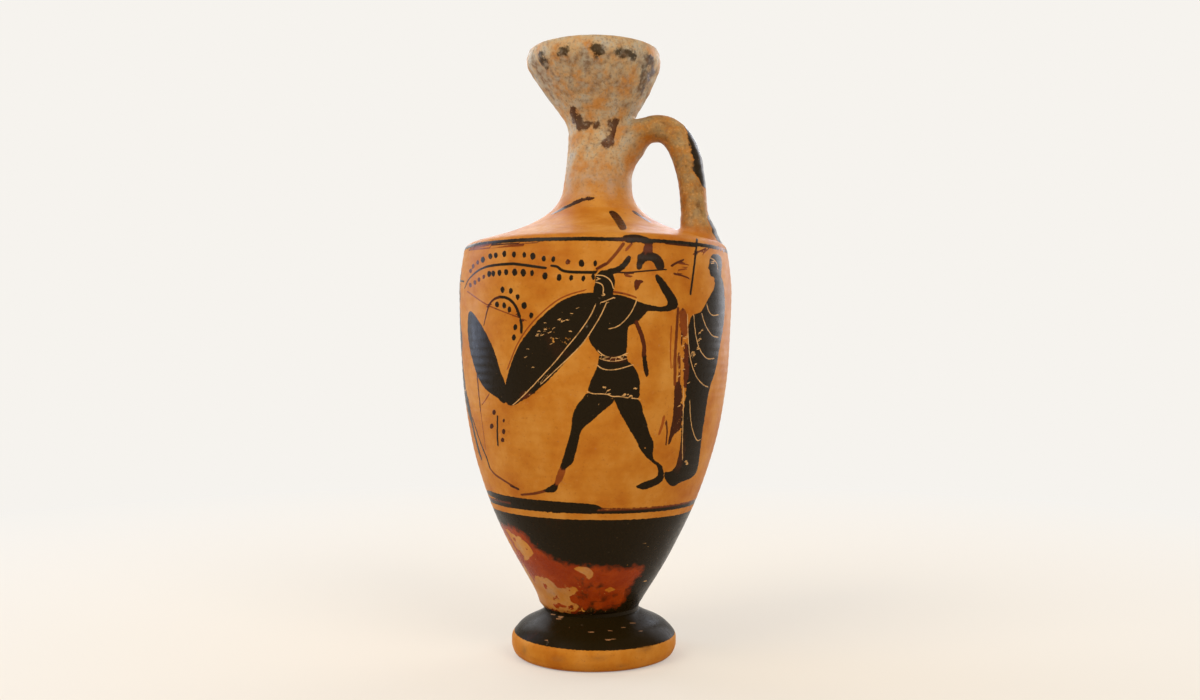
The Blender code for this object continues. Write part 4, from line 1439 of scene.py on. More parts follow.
class Workshop:
    """Turns outlines and rings into finished objects that stand for nodes of the frame."""

    WELD = 1e-3
    SHARP = math.radians(50)
    DOUBLINGS = 4

    def __init__(self, side: Side, mirror_about: float = -103.0) -> None:
        """Keeps what every piece is finished with.

        Args:
            side: the vessel's outside.
            mirror_about: the angle from the front, in degrees, that the painting mirrors about.
        """
        self.side = side
        self.mirror_about = mirror_about

    def spin(self, outline: np.ndarray, closed: bool, sectors: Sequence[tuple[float, int]],
             start: float) -> bmesh.types.BMesh:
        """Spins an outline about the vessel's axis.

        Args:
            outline: radii and heights, from axis to axis or closed on itself.
            closed: whether its end joins its start.
            sectors: the angle of each sector in degrees, and its steps.
            start: the angle from the front at which the first sector starts.

        Returns:
            The spun mesh, in millimetres.
        """
        bm = bmesh.new()
        turn = math.radians(start + self.side.view.turn)
        for angle, steps in sectors:
            ring = [bm.verts.new((r * math.sin(turn), -r * math.cos(turn), z)) for r, z in outline]
            edges = [bm.edges.new(pair) for pair in zip(ring, ring[1:])]
            if closed:
                edges.append(bm.edges.new((ring[-1], ring[0])))
            sweep = math.radians(angle)
            old = set(bm.verts) - set(ring)
            bmesh.ops.spin(bm, geom=[*ring, *edges], cent=(0, 0, 0), axis=(0, 0, 1),
                           angle=sweep / 2 ** self.DOUBLINGS, steps=steps // 2 ** self.DOUBLINGS)
            self.double(bm, old, sweep)
            turn += sweep
        bmesh.ops.remove_doubles(bm, verts=bm.verts, dist=self.WELD)
        return bm

    def turn(self, outline: np.ndarray, closed: bool, steps: int) -> bmesh.types.BMesh:
        """Spins an outline right round in even steps, starting at the back."""
        return self.spin(outline, closed, [(360.0, steps)], 180.0)

    def double(self, bm: bmesh.types.BMesh, old: set, sweep: float) -> None:
        """Copies a sector's first slice on and on until it fills the sector, which is quicker than spinning.

        Args:
            bm: the mesh.
            old: vertices that aren't part of the sector.
            sweep: the sector's angle, in radians.
        """
        for k in range(self.DOUBLINGS, 0, -1):
            slice_ = [v for v in bm.verts if v not in old]
            faces = {f for v in slice_ for f in v.link_faces}
            copies = bmesh.ops.duplicate(bm, geom=[*slice_, *{e for f in faces for e in f.edges},
                                                   *faces])["geom"]
            moved = [v for v in copies if isinstance(v, bmesh.types.BMVert)]
            bmesh.ops.rotate(bm, verts=moved, cent=(0, 0, 0), matrix=Matrix.Rotation(sweep / 2 ** k, 3, "Z"))

    def loft(self, rings: Sequence[np.ndarray], capped: bool) -> bmesh.types.BMesh:
        """Bridges closed rings one to the next.

        Args:
            rings: points round each ring, in millimetres.
            capped: whether the ends are filled, or else joined to each other.

        Returns:
            The bridged mesh, in millimetres.
        """
        bm = bmesh.new()
        loops = []
        for ring in rings:
            corners = [bm.verts.new(p) for p in ring]
            loops.append([bm.edges.new(pair) for pair in zip(corners, corners[1:] + corners[:1])])
        pairs = list(zip(loops, loops[1:])) + ([] if capped else [(loops[-1], loops[0])])
        for low, high in pairs:
            bmesh.ops.bridge_loops(bm, edges=low + high)
        if capped:
            for end in (loops[0], loops[-1]):
                bmesh.ops.edgeloop_fill(bm, edges=end)
        bmesh.ops.remove_doubles(bm, verts=bm.verts, dist=self.WELD)
        return bm

    def canvas(self, bm: bmesh.types.BMesh) -> Canvas:
        """A blank canvas for a mesh that still has its true shape."""
        places = np.array([v.co for v in bm.verts])
        return Canvas(self.side, places, self.mirror_about)

    def finish(self, name: str, bm: bmesh.types.BMesh, canvas: Canvas, finish: PaintedEarthenware, node: str,
               slot: str) -> bpy.types.Object:
        """Bends a mesh by hand, scales it to metres and makes it the piece that stands for a node.

        Args:
            name: the piece's name.
            bm: its mesh, in millimetres.
            canvas: its painting.
            finish: what it is made of.
            node: the CAD node that it stands for.
            slot: the record's material slot; not used.

        Returns:
            The finished piece.
        """
        bmesh.ops.recalc_face_normals(bm, faces=bm.faces)
        mesh = bpy.data.meshes.new(name)
        bm.to_mesh(mesh)
        bm.free()
        places = np.empty(len(mesh.vertices) * 3)
        mesh.vertices.foreach_get("co", places)
        moved = self.side.throwing.bend(places.reshape(-1, 3), self.side) * MM
        mesh.vertices.foreach_set("co", moved.ravel())
        mesh.update()
        mesh.shade_smooth()
        mesh.set_sharp_from_angle(angle=self.SHARP)
        canvas.store(mesh)
        mesh.materials.append(finish.material())
        piece = bpy.data.objects.new(name, mesh)
        bpy.context.scene.collection.objects.link(piece)
        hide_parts(node)
        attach(piece, "root")
        LOG.info("%s stands for %s: %d faces", name, node, len(mesh.polygons))
        return piece


@dataclass(frozen=True)
class Foot:
    """The thick disc that the vessel stands on, black on top, with its edge left in the clay."""

    radius: float = frame_size("foot", 0)
    height: float = frame_size("foot", 2)
    edge_height: float = 9.2
    edge_round: float = 3.0
    edge_rise: float = 0.3
    edge_bulge: float = 0.55
    brow_inset: float = 2.2
    top_slope: float = 50.0
    top_pull: float = 3.3
    stem_radius: float = 15.0
    stem_pull: float = 3.85
    stem_flare: float = 39.0
    hollow_radius: float = 18.5
    hollow_depth: float = 4.5
    hollow_slope: float = 60.0
    dish_depth: float = 1.6
    black_from: float = 7.3
    black_drift: float = -0.4
    facet: float = 0.6
    under_facet: float = 2.0
    dish_facet: float = 3.0
    steps: int = 256
    wear: Wear = Wear()
    finish: PaintedEarthenware = PaintedEarthenware(
        "painted_earthenware_foot", bare="#8e6440", dust="#7d4d20", dust_warm="#8a5a2c", dust_grey="#6f4a28",
        specular=0.02)

    def profile(self) -> np.ndarray:
        """The outside of the foot.

        Returns:
            Its line from the ground round the edge and over the top to the stem.
        """
        rest = (self.radius - self.edge_round, 0.0)
        widest = (self.radius, self.edge_height / 2)
        brow = np.array((self.radius - self.brow_inset, self.edge_height))
        up, out = self.edge_height * self.edge_rise, self.edge_round * self.edge_bulge
        stem = (self.stem_radius, self.height)
        lower = curve(rest, (out, 0.0), (0.0, -up), widest)
        upper = curve(widest, (0.0, up), along(-self.top_slope, up), brow)
        top = curve(brow, along(180 - self.top_slope, self.top_pull), along(-self.stem_flare,
                                                                            self.stem_pull), stem)
        return chain(lower, upper, top)

    def outline(self) -> np.ndarray:
        """The foot's outline.

        Returns:
            Its line from the roof of the hollow round the edge to the middle of the dish.
        """
        outside = evenly(self.profile(), self.facet)
        hollow = curve((0.0, self.hollow_depth), (self.hollow_radius / 2, 0.0),
                       along(180 - self.hollow_slope, self.hollow_depth / 2), (self.hollow_radius, 0.0))
        under = np.array(((self.hollow_radius, 0.0), outside[0]))
        dish = curve(outside[-1], (-self.stem_radius / 3, -self.dish_depth * 2 / 3),
                     (self.stem_radius / 2, 0.0),
                     (0.0, self.height - self.dish_depth))
        return chain(evenly(hollow, self.under_facet), evenly(under, self.under_facet), outside,
                     evenly(dish, self.dish_facet))

    def build(self, shop: Workshop) -> bpy.types.Object:
        """Spins and paints the foot.

        Args:
            shop: what finishes pieces.

        Returns:
            The finished foot.
        """
        bm = shop.turn(self.outline(), False, self.steps)
        canvas = shop.canvas(bm)
        on_top = (canvas.height > self.edge_height / 2) & (canvas.radius > self.stem_radius - FINE / 2)
        black_from = self.black_from + self.black_drift * np.sin(canvas.turn)
        canvas.fields["slip"][on_top] = (black_from - canvas.height)[on_top]
        for mark in self.wear.foot_marks():
            canvas.draw(mark, Back.BARE)
        for wash in self.wear.foot_stains():
            canvas.wash(wash)
        return shop.finish("foot_disc", bm, canvas, self.finish, "foot", "black_gloss_slip")


@dataclass(frozen=True)
class Body:
    """The ovoid body with its sloping shoulder, which carries the frieze.

    A band is given as its lower and upper edge, its drift and how watered it is.
    """

    form: Form
    wall: float = 4.0
    base_wall: float = 5.0
    floor_height: float = 20.5
    floor_round: float = 3.0
    dish_depth: float = 1.6
    frieze_from: float = 48.0
    frieze_facet: float = 0.66
    facet: float = 1.5
    inside_facet: float = 7.0
    shoulder_facet: float = 1.4
    ceiling_facet: float = 4.0
    hidden_facet: float = 4.0
    corner_reach: float = 6.0
    front: tuple[float, int] = (180.0, 256)
    back: tuple[float, int] = (180.0, 176)
    front_from: float = -95.0
    bands: tuple[tuple[float, float, float, float], ...] = (
        (133.6, 134.8, 0.55, 0.0), (51.1, 52.3, 0.35, 0.0), (52.3, 53.0, 0.35, 0.6))
    black: tuple[float, float, float] = (10.0, 49.1, 0.45)
    worn: float = 0.02
    frieze: Frieze = Frieze()
    wear: Wear = Wear()
    finish: PaintedEarthenware = PaintedEarthenware("painted_earthenware_body")

    def join(self) -> tuple[np.ndarray, np.ndarray]:
        """The shoulder's two faces.

        Returns:
            Its outside and inside, as far as the ring where the neck is luted on.
        """
        outer = evenly(self.form.shoulder())
        inner = inwards(outer, self.wall, self.wall)
        last = int((outer[:, 0] > self.form.join_radius).sum())
        return outer[:last], inner[:last]

    def outline(self) -> np.ndarray:
        """The body's outline.

        Returns:
            Its line from the middle of the base round the wall and shoulder to the middle of the floor.
        """
        form = self.form
        base = (form.stem_radius, form.base_height)
        dish = curve((0.0, form.base_height - self.dish_depth), (form.stem_radius / 2, 0.0),
                     (-form.stem_radius / 3, -self.dish_depth * 2 / 3), base)
        wall = evenly(form.wall())
        split = int((wall[:, 1] < self.frieze_from).sum())
        shoulder, ceiling = self.join()
        over = int((run_of(shoulder) < self.corner_reach).sum())
        inside = inwards(wall, self.base_wall, self.wall)
        inside = inside[inside[:, 1] > self.floor_height + self.floor_round]
        under = np.interp(inside[:, 0], ceiling[::-1, 0], ceiling[::-1, 1])
        inside = inside[(inside[:, 1] < under) | (inside[:, 1] < form.belly_height)]
        ceiling = ceiling[ceiling[:, 0] < inside[-1, 0]]
        bowl = curve(inside[0], along(180 + form.base_angle, self.floor_round), (inside[0, 0] / 2, 0.0),
                     (0.0, self.floor_height))
        return chain(*(evenly(line, facet) for line, facet in (
            (dish, self.hidden_facet), (wall[:split + 1], self.facet), (wall[split:], self.frieze_facet),
            (shoulder[:over + 1], self.frieze_facet), (shoulder[over:], self.shoulder_facet),
            (ceiling[::-1], self.ceiling_facet), (inside[::-1], self.inside_facet),
                                                               (bowl, self.hidden_facet))))

    def paint(self, canvas: Canvas) -> None:
        """Paints the bands, the frieze and the black lower wall, and wears them.

        Args:
            canvas: the body's canvas.
        """
        for mark in self.frieze.marks():
            canvas.draw(mark)
        for band in self.bands:
            canvas.band(*band)
        canvas.draw(self.frieze.wedge(), Back.BARE)
        canvas.band(*self.black)
        for mark in (*self.wear.fired_red(), *self.wear.rubbed()):
            canvas.draw(mark, Back.BARE)
        canvas.fields["worn"][canvas.outer] = self.worn
        for wash in self.wear.washes():
            canvas.wash(wash)

    def build(self, shop: Workshop) -> bpy.types.Object:
        """Spins and paints the body.

        Args:
            shop: what finishes pieces.

        Returns:
            The finished body.
        """
        bm = shop.spin(self.outline(), False, [self.front, self.back], self.front_from)
        canvas = shop.canvas(bm)
        self.paint(canvas)
        return shop.finish("body_and_shoulder", bm, canvas, self.finish, "body", "fired_clay")


@dataclass(frozen=True)
class NeckAndMouth:
    """The slim neck and its cup-shaped mouth, worn and crusted from the ground.

    Dusty, crusted and worn are amounts at a few heights.
    """

    form: Form
    wall: float = 4.0
    lip_width: float = 3.4
    lip_pull: float = 0.4
    funnel_pull: float = 9.0
    facet: float = 0.8
    lip_facet: float = 0.5
    bore_facet: float = 1.6
    steps: int = 192
    gap: float = 0.05
    patch_thin: float = 0.1
    smear_thin: float = 0.3
    remnant_spread: float = 0.35
    dusty: tuple[Point, ...] = (
        (144, 0.0), (150, 0.1), (156, 0.5), (165, 0.9), (176, 0.95), (181, 0.85), (186, 0.95), (203, 0.95))
    crusted: tuple[Point, ...] = (
        (160, 0.1), (170, 0.45), (180, 0.25), (186, 0.7), (194, 0.6), (198, 0.3), (203, 0.35))
    worn: tuple[Point, ...] = ((148, 0.1), (154, 0.23))
    washes: tuple[Wash, ...] = (
        Wash("crust", (-15.5, 183), (5, 8), 1.2), Wash("crust", (-3, 188), (1.8, 3.6), 1.1),
        Wash("crust", (9, 174), (5, 3), 0.8))
    frieze: Frieze = Frieze()
    finish: PaintedEarthenware = PaintedEarthenware("weathered_earthenware_neck")

    def outline(self) -> np.ndarray:
        """The outline of the neck and mouth.

        Returns:
            Its line up the outside, over the lip and back down the funnel and the bore.
        """
        form = self.form
        sweep = evenly(form.shoulder())
        sweep = sweep[sweep[:, 0] < form.join_radius - self.gap]
        sweep_inside = inwards(sweep, self.wall, self.wall)
        neck = evenly(form.neck())
        bore = inwards(neck, self.wall, self.wall)
        mouth = form.mouth()
        brink = mouth[-1] + np.array((-self.lip_width, -form.lip_drop))
        lip = curve(mouth[-1], (-self.lip_width / 2, 0.0), (form.lip_drop * self.lip_pull, form.lip_drop),
                    brink)
        funnel = curve(brink, along(180 + form.cup_angle, self.funnel_pull), (0.0, self.funnel_pull),
                       bore[-1])
        return chain(*(evenly(line, facet) for line, facet in (
            (chain(sweep, neck, mouth), self.facet), (lip, self.lip_facet),
            (chain(funnel, bore[::-1]), self.bore_facet), (sweep_inside[::-1], self.bore_facet))))

    def remnants(self) -> list[Mark]:
        """What is left of the black that once covered the mouth.

        Returns:
            The patches on the cup, the smears on the neck and a rubbed place.
        """
        patches = [[(-16.6, 189.2), (-15.2, 189.6), (-14.4, 187.6), (-13.6, 185.2), (-14.2, 184.2),
                    (-15.2, 185.6),
                    (-16.2, 187.4)],
                   [(-10.6, 189.6), (-9.2, 190.7), (-7.8, 190.2), (-7.6, 188.8), (-8.8, 188.2),
                    (-10.2, 188.6)],
                   [(-1.6, 191.4), (0.6, 191.8), (2.2, 190.6), (2.4, 188.8), (1.2, 187.2), (0.2, 187.4),
                    (0.8, 189),
                    (-0.2, 189.8), (-1.4, 190)],
                   [(5.4, 189.8), (8, 190), (11.2, 189.6), (11.9, 188.2), (11.4, 187), (10.4, 187.4),
                    (9.4, 188.2),
                    (6.2, 188.2)],
                   [(14.6, 188.9), (16.4, 188.2), (17.4, 186), (17, 183), (15.4, 181), (14.2, 179.2),
                    (13.6, 177.2),
                    (12.8, 178), (13, 181), (13.4, 184), (14, 186.4)]]
        smears = [[(-7.6, 173), (-6, 173), (-4.8, 170.6), (-3.6, 169), (-2.2, 168.8), (-1.2, 167.6),
                   (-2.6, 166.6),
                   (-5, 166.4), (-6.6, 168)],
                  [(-0.8, 168.8), (1.1, 168.5), (1, 166.6), (-0.7, 166.8)],
                  [(4, 169.6), (6, 169.4), (8.6, 167.4), (8, 165.4), (6.4, 163.8), (5.2, 161.6),
                   (2.6, 160.8), (1.8, 162.6),
                   (3.4, 164.2), (4.4, 166)]]
        rubbed = [(15.2, 186.8), (16.4, 185.6), (16, 183.6), (15, 182.8), (14.8, 184.6)]
        return [*(Mark(Tool.FILL, points, thin=self.patch_thin) for points in patches),
                *(Mark(Tool.FILL, points, thin=self.smear_thin) for points in smears),
                Mark(Tool.RUB, rubbed)]

    def weather(self, canvas: Canvas) -> None:
        """Dulls the clay with dust, more and more up the neck, and crusts the cup.

        Args:
            canvas: the canvas of the neck or of the join under it.
        """
        for name, amounts in (("dust", self.dusty), ("crust", self.crusted), ("worn", self.worn)):
            canvas.fields[name] = graded(amounts, canvas.height)
        for wash in self.washes:
            canvas.wash(wash)

    def dress(self, canvas: Canvas) -> None:
        """Paints the ends of the shoulder's strokes, one of them partly painted shade, and weathers the
        clay.

        Args:
            canvas: the canvas of the neck or of the join under it.
        """
        for mark in self.frieze.shoulder():
            canvas.draw(mark)
        self.weather(canvas)

    def build(self, shop: Workshop) -> bpy.types.Object:
        """Spins, weathers and paints the neck and mouth.

        Args:
            shop: what finishes pieces.

        Returns:
            The finished neck.
        """
        bm = shop.turn(self.outline(), True, self.steps)
        canvas = shop.canvas(bm)
        for mark in self.remnants():
            canvas.draw(mark, Back.TURNED)
        canvas.fields["slip"] -= self.remnant_spread
        self.dress(canvas)
        return shop.finish("neck_and_cup_mouth", bm, canvas, self.finish, "neck_and_mouth", "fired_clay")


@dataclass(frozen=True)
class Joins:
    """The two layers of luting slip between the turned pieces, wiped flush with both sides."""

    form: Form
    neck: NeckAndMouth
    wall: float = 4.0
    foot_top: float = frame_size("foot", 2)
    lap: float = 0.03
    width: float = 0.5
    facet: float = 0.05
    steps: int = 192
    blackened: float = -1.0
    finish: PaintedEarthenware = PaintedEarthenware("luting_slip")

    def build(self, shop: Workshop) -> list[bpy.types.Object]:
        """Spins both rings.

        Args:
            shop: what finishes pieces.

        Returns:
            The ring under the body and the ring round the foot of the neck.
        """
        form = self.form
        stem, top = form.stem_radius, form.base_height - self.lap
        low = self.foot_top + self.lap
        under = np.array(((stem - self.wall, low), (stem - self.lap, low), (stem - 2 * self.lap,
                                                                            (low + top) / 2),
                          (stem - self.lap, top), (stem - self.wall, top)))
        sweep = evenly(form.shoulder(), self.facet)
        inner = inwards(sweep, self.wall, self.wall)
        near = np.abs(sweep[:, 0] - form.join_radius) < self.width / 2
        collar = np.vstack((sweep[near], inner[near][::-1]))
        pieces = []
        for name, outline, node in (("stem_luting_ring", under, "foot_luting_slip"),
                                    ("neck_luting_ring", collar, "neck_luting_slip")):
            bm = shop.turn(outline, True, self.steps)
            canvas = shop.canvas(bm)
            if outline is under:
                canvas.fields["slip"][:] = self.blackened
            else:
                self.neck.dress(canvas)
            pieces.append(shop.finish(name, bm, canvas, self.finish, node, "luting_slip"))
        return pieces


@dataclass(frozen=True)
class Handle:
    """The pulled strap from the neck to the shoulder, with a wiped fillet of slip at each end.

    The pulls are shares of the steps between the root, the top, the side and the foot. A stripe is given
    as the heights of its ends and half its width.
    """

    form: Form
    neck: NeckAndMouth
    thickness: float = 8.7
    width: float = 11.5
    reach: float = 10.65
    arch: float = 4.3
    drop: float = 20.9
    inset: float = 8.7
    lean: float = 1.8
    root_below_waist: float = 3.4
    root_sink: float = 8.28
    foot_sink: float = 6.0
    spring_pull: float = 0.42
    bend_pull: float = 0.62
    side_pull: Point = (0.08, 0.53)
    fall_pull: Point = (0.04, 0.29)
    path_step: float = 0.15
    path_look: float = 1.5
    path_stride: int = 6
    path_search: int = 1200
    root_spread: Point = (4.6, 2.5)
    foot_spread: Point = (4.0, 3.0)
    spread_reach: float = 9.0
    fillet: float = 2.4
    underside_fillet: float = 6.5
    fillet_steps: int = 9
    fillet_look: float = 2.0
    fillet_buried: float = 0.6
    fillet_undercut: float = 0.5
    rim_inset: float = 0.7
    rim_sink: float = 0.12
    sides: int = 56
    facet: float = 0.7
    bend_spread: float = 0.8
    bend_at: float = 0.46
    stripes: tuple[tuple[float, float, float], ...] = ((175.5, 154.0, 4.1), (146.0, 134.0, 3.0))
    stripe_dulled: float = 0.15
    stripe_shift: float = 1.0
    stripe_swing: float = 0.45
    stripe_waves: float = 1.7
    stripe_tip: float = 0.5
    stripe_tail: float = 0.25
    stripe_edge: float = 0.5
    face_lean: float = 0.4
    crusted: tuple[Point, ...] = ((138, 0.1), (146, 0.5), (176, 0.4))
    dusty: tuple[Point, ...] = ((138, 0.5), (142, 0.75), (150, 0.95))
    worn: float = 0.12
    soiled_by: float = 8.0
    # How far the dust is cut back under the arch, where the strap's underside then shows darker, redder
    # clay.
    underside_darker: float = 0.45
    finish: PaintedEarthenware = PaintedEarthenware("weathered_earthenware_handle")

    def path(self) -> np.ndarray:
        """The strap's centre line.

        Returns:
            Its points from inside the neck's wall to below the shoulder's surface.
        """
        form = self.form
        root = np.array((form.neck_radius, form.waist_height - self.root_below_waist))
        top = root + np.array((self.reach, self.arch))
        foot_radius = form.body_radius - form.shoulder_inset - self.inset
        side = np.array((foot_radius - self.lean, top[1] - self.drop))
        shoulder = form.shoulder()
        foot = np.array((foot_radius, np.interp(foot_radius, shoulder[::-1, 0], shoulder[::-1, 1])))
        rise, over, down = top - root, side - top, foot - side
        springing = np.array((rise[0] / 4, rise[1] / 2))
        upright = 90 + form.shoulder_slope
        sunk_root = root - springing / np.linalg.norm(springing) * self.root_sink
        spring = curve(root, springing, (-rise[0] * self.spring_pull, 0.0), top)
        bend = curve(top, (over[0] * self.bend_pull, 0.0), -over * self.side_pull, side)
        fall = curve(side, over * self.fall_pull, along(upright, np.linalg.norm(down) / 3), foot)
        sunk_foot = foot - along(upright, self.foot_sink)
        ends = np.array((sunk_root, root)), np.array((foot, sunk_foot))
        return evenly(chain(ends[0], spring, bend, fall, ends[1]), self.path_step)

    def skin(self, path: np.ndarray, distance: np.ndarray, angle: np.ndarray) -> np.ndarray:
        """Points of the strap's skin.

        Args:
            path: the centre line.
            distance: how far along it each point is.
            angle: how far round the strap each point is, from its outer face.

        Returns:
            The points, in millimetres.
        """
        run = run_of(path)
        length = run[-1]
        here, ahead, behind = (
            np.column_stack([np.interp(distance + look, run, path[:, k]) for k in (0, 1)])
            for look in (0.0, self.path_look, -self.path_look))
        way = ahead - behind
        way /= np.linalg.norm(way, axis=1)[:, None]
        near = [np.clip(1 - np.maximum(d, 0) / self.spread_reach, 0, 1)
                for d in (distance - self.root_sink, length - distance - self.foot_sink)]
        root, foot = (share ** 2 * (3 - 2 * share) for share in near)
        bend = np.exp(-((distance - self.bend_at * length) / self.spread_reach) ** 2)
        thick = (self.thickness + self.bend_spread * bend + self.root_spread[0] * root
                 + self.foot_spread[0] * foot) / 2
        wide = (self.width + self.root_spread[1] * root + self.foot_spread[1] * foot) / 2
        out = here + np.column_stack((-way[:, 1], way[:, 0])) * (thick * np.cos(angle))[:, None]
        return np.column_stack((out[:, 0], wide * np.sin(angle), out[:, 1]))

    def footprints(self, side: Side, path: np.ndarray, angles: np.ndarray) -> tuple[np.ndarray, np.ndarray]:
        """Where the strap's skin comes out of the neck and goes into the shoulder.

        Args:
            side: the vessel's outside.
            path: the strap's centre line.
            angles: the angles round the strap to look at.

        Returns:
            The distance along the strap of its root and of its foot, for each angle.
        """
        length = run_of(path)[-1]
        marks = np.linspace(0.0, length, self.path_search)
        starts, ends = [], []
        for angle in angles:
            skin = self.skin(path, marks, np.full(len(marks), angle))
            free = np.hypot(skin[:, 0], skin[:, 1]) > side.radius(skin[:, 2])
            middle = len(marks) // 2
            starts.append(marks[middle - (~free[:middle][::-1]).argmax()])
            ends.append(marks[middle + (~free[middle:]).argmax()])
        return np.array(starts), np.array(ends)

    def on_vessel(self, side: Side, places: np.ndarray, upright: bool) -> np.ndarray:
        """Places moved just under the vessel's outside.

        Args:
            side: the vessel's outside.
            places: the points to move.
            upright: whether they move up or down on to the shoulder, short of its edge, rather than
                towards the axis.

        Returns:
            The moved points.
        """
        moved = places.copy()
        out = np.hypot(places[:, 0], places[:, 1])
        if upright:
            above = (side.line[:, 1] > self.form.shoulder_height) & (side.line[:,
                                                                               1] < self.form.waist_height)
            slope = side.line[above][::-1]
            wide = np.minimum(out, slope[-1, 0] - self.rim_inset)
            moved[:, 2] = np.interp(wide, slope[:, 0], slope[:, 1]) - self.rim_sink
        else:
            wide = side.radius(places[:, 2]) - self.rim_sink
        moved[:, :2] *= (wide / np.maximum(out, TOUCHING))[:, None]
        return moved

    def build(self, shop: Workshop) -> list[bpy.types.Object]:
        """Lofts the strap and its two fillets, and weathers and paints them.

        Args:
            shop: what finishes pieces.

        Returns:
            The finished strap and fillets.
        """
        path = self.path()
        angles = np.linspace(0.0, math.tau, self.sides, endpoint=False)
        starts, ends = self.footprints(shop.side, path, angles)
        count = math.ceil((ends - starts).mean() / self.facet)
        rings = [self.skin(path, starts + (ends - starts) * k / count, angles) for k in range(count + 1)]
        bm = shop.loft(rings, True)
        canvas = shop.canvas(bm)
        self.weather(canvas, bm, path)
        pieces = [shop.finish("handle_strap", bm, canvas, self.finish, "handle", "fired_clay")]
        for name, node, marks, step, upright in (
                ("handle_root_fillet", "handle_upper_luting_slip", starts, 1.0, False),
                ("handle_foot_fillet", "handle_lower_luting_slip", ends, -1.0, True)):
            bm = shop.loft(self.fillet_rings(shop.side, path, angles, marks, step, upright), False)
            canvas = shop.canvas(bm)
            self.weather(canvas, bm, path)
            pieces.append(shop.finish(name, bm, canvas, self.finish, node, "luting_slip"))
        return pieces

    def fillet_rings(self, side: Side, path: np.ndarray, angles: np.ndarray, marks: np.ndarray, step: float,
                     upright: bool) -> list[np.ndarray]:
        """The rings of a hollow fillet that runs from the strap's skin on to the vessel.

        Args:
            side: the vessel's outside.
            path: the strap's centre line.
            angles: the angles round the strap.
            marks: where the strap meets the vessel at each angle.
            step: which way along the strap leads away from the vessel.
            upright: whether the vessel lies below the strap rather than beside it.

        Returns:
            Rings from the strap, down the hollow face, to the vessel and back underneath.
        """
        under = (1 - np.cos(angles)) / 2 * (not upright)
        reach = self.fillet + (self.underside_fillet - self.fillet) * under
        corner = self.skin(path, marks, angles)
        high = self.skin(path, marks + step * reach, angles)
        middle = corner.mean(axis=0)
        axis = (self.skin(path, marks + step * self.fillet_look, angles) - corner).mean(axis=0)
        axis /= np.linalg.norm(axis)
        spoke = corner - middle
        spoke -= np.outer(spoke @ axis, axis)
        spoke /= np.linalg.norm(spoke, axis=1)[:, None]
        low = self.on_vessel(side, corner + spoke * reach[:, None], upright)
        rings = [(1 - t) ** 2 * high + 2 * t * (1 - t) * corner + t ** 2 * low
                 for t in np.linspace(0.0, 1.0, self.fillet_steps)]
        buried = corner - (spoke + axis) * self.fillet_buried
        return [*rings, (low + corner) / 2 - axis * self.fillet_undercut, buried,
                (high + corner) / 2 - spoke * self.fillet_undercut]

    def weather(self, canvas: Canvas, bm: bmesh.types.BMesh, path: np.ndarray) -> None:
        """Crusts the strap and paints what is left of the stripe down its outer face.

        Args:
            canvas: the canvas of the strap or a fillet.
            bm: its mesh.
            path: the strap's centre line.
        """
        places = np.array([v.co for v in bm.verts])
        height = places[:, 2]
        top = self.form.neck_radius + self.reach
        self.neck.weather(canvas)
        away = np.clip((canvas.radius - canvas.side.radius(height)) / self.soiled_by, 0.0, 1.0)
        soiled = {"crust": graded(self.crusted, height), "dust": graded(self.dusty, height),
                  "worn": self.worn,
                  "soil": 1.0}
        for name, amount in soiled.items():
            canvas.fields[name] += (amount - canvas.fields[name]) * away
        sparse = path[::self.path_stride]
        near = sparse[np.array([np.hypot(places[:, 0] - x, height - z) for x, z in sparse]).argmin(axis=0)]
        # Under the arch, below the centre line, the dust is cut back so that the strap's underside shows
        # darker, redder clay.
        below = np.clip((near[:, 1] - height) / self.thickness * 2, 0.0, 1.0) * (places[:, 0] < top) * away
        canvas.fields["dust"] *= 1.0 - self.underside_darker * below
        outer = (places[:, 0] - near[:, 0]) + self.face_lean * (height - near[:, 1]) > 0.0
        canvas.fields["slip"][:] = FAR
        there = outer & (places[:, 0] > top)
        for high, low, half in self.stripes:
            share = np.clip((height - low) / (high - low), 0.0, 1.0)
            swing = self.stripe_swing * np.sin(math.tau * self.stripe_waves * share)
            tip = np.sqrt(np.minimum(1.0, (1.0 - share) / self.stripe_tip))
            tail = np.sqrt(np.minimum(1.0, share / self.stripe_tail))
            edge = np.abs(places[:, 1] + self.stripe_shift + swing) - (half - swing / 2) * tip * tail
            edge = np.maximum.reduce([edge, height - high, low - height])
            canvas.fields["slip"][there] = np.minimum(canvas.fields["slip"], edge)[there]
        for name in ("crust", "dust"):
            canvas.fields[name] *= np.interp(canvas.fields["slip"], (0.0, self.stripe_edge),
                                             (self.stripe_dulled, 1.0))


# The stage.

@dataclass(frozen=True)
class SoftBox:
    """A soft studio lamp that looks at the middle of the vessel."""

    name: str
    place: tuple[float, float, float]
    size: tuple[float, float]
    watts: float
    colour: str = "#ffffff"

    def light(self, target: Vector) -> bpy.types.Object:
        """Adds the lamp.

        Args:
            target: what it looks at.

        Returns:
            The lamp.
        """
        data = bpy.data.lights.new(self.name, "AREA")
        data.shape = "RECTANGLE"
        data.size, data.size_y = self.size
        data.energy = self.watts
        data.color = linear(self.colour)[:3]
        lamp = bpy.data.objects.new(self.name, data)
        lamp.location = self.place
        lamp.visible_camera = False
        lamp.rotation_euler = (target - lamp.location).to_track_quat("-Z", "Y").to_euler()
        bpy.context.scene.collection.objects.link(lamp)
        return lamp


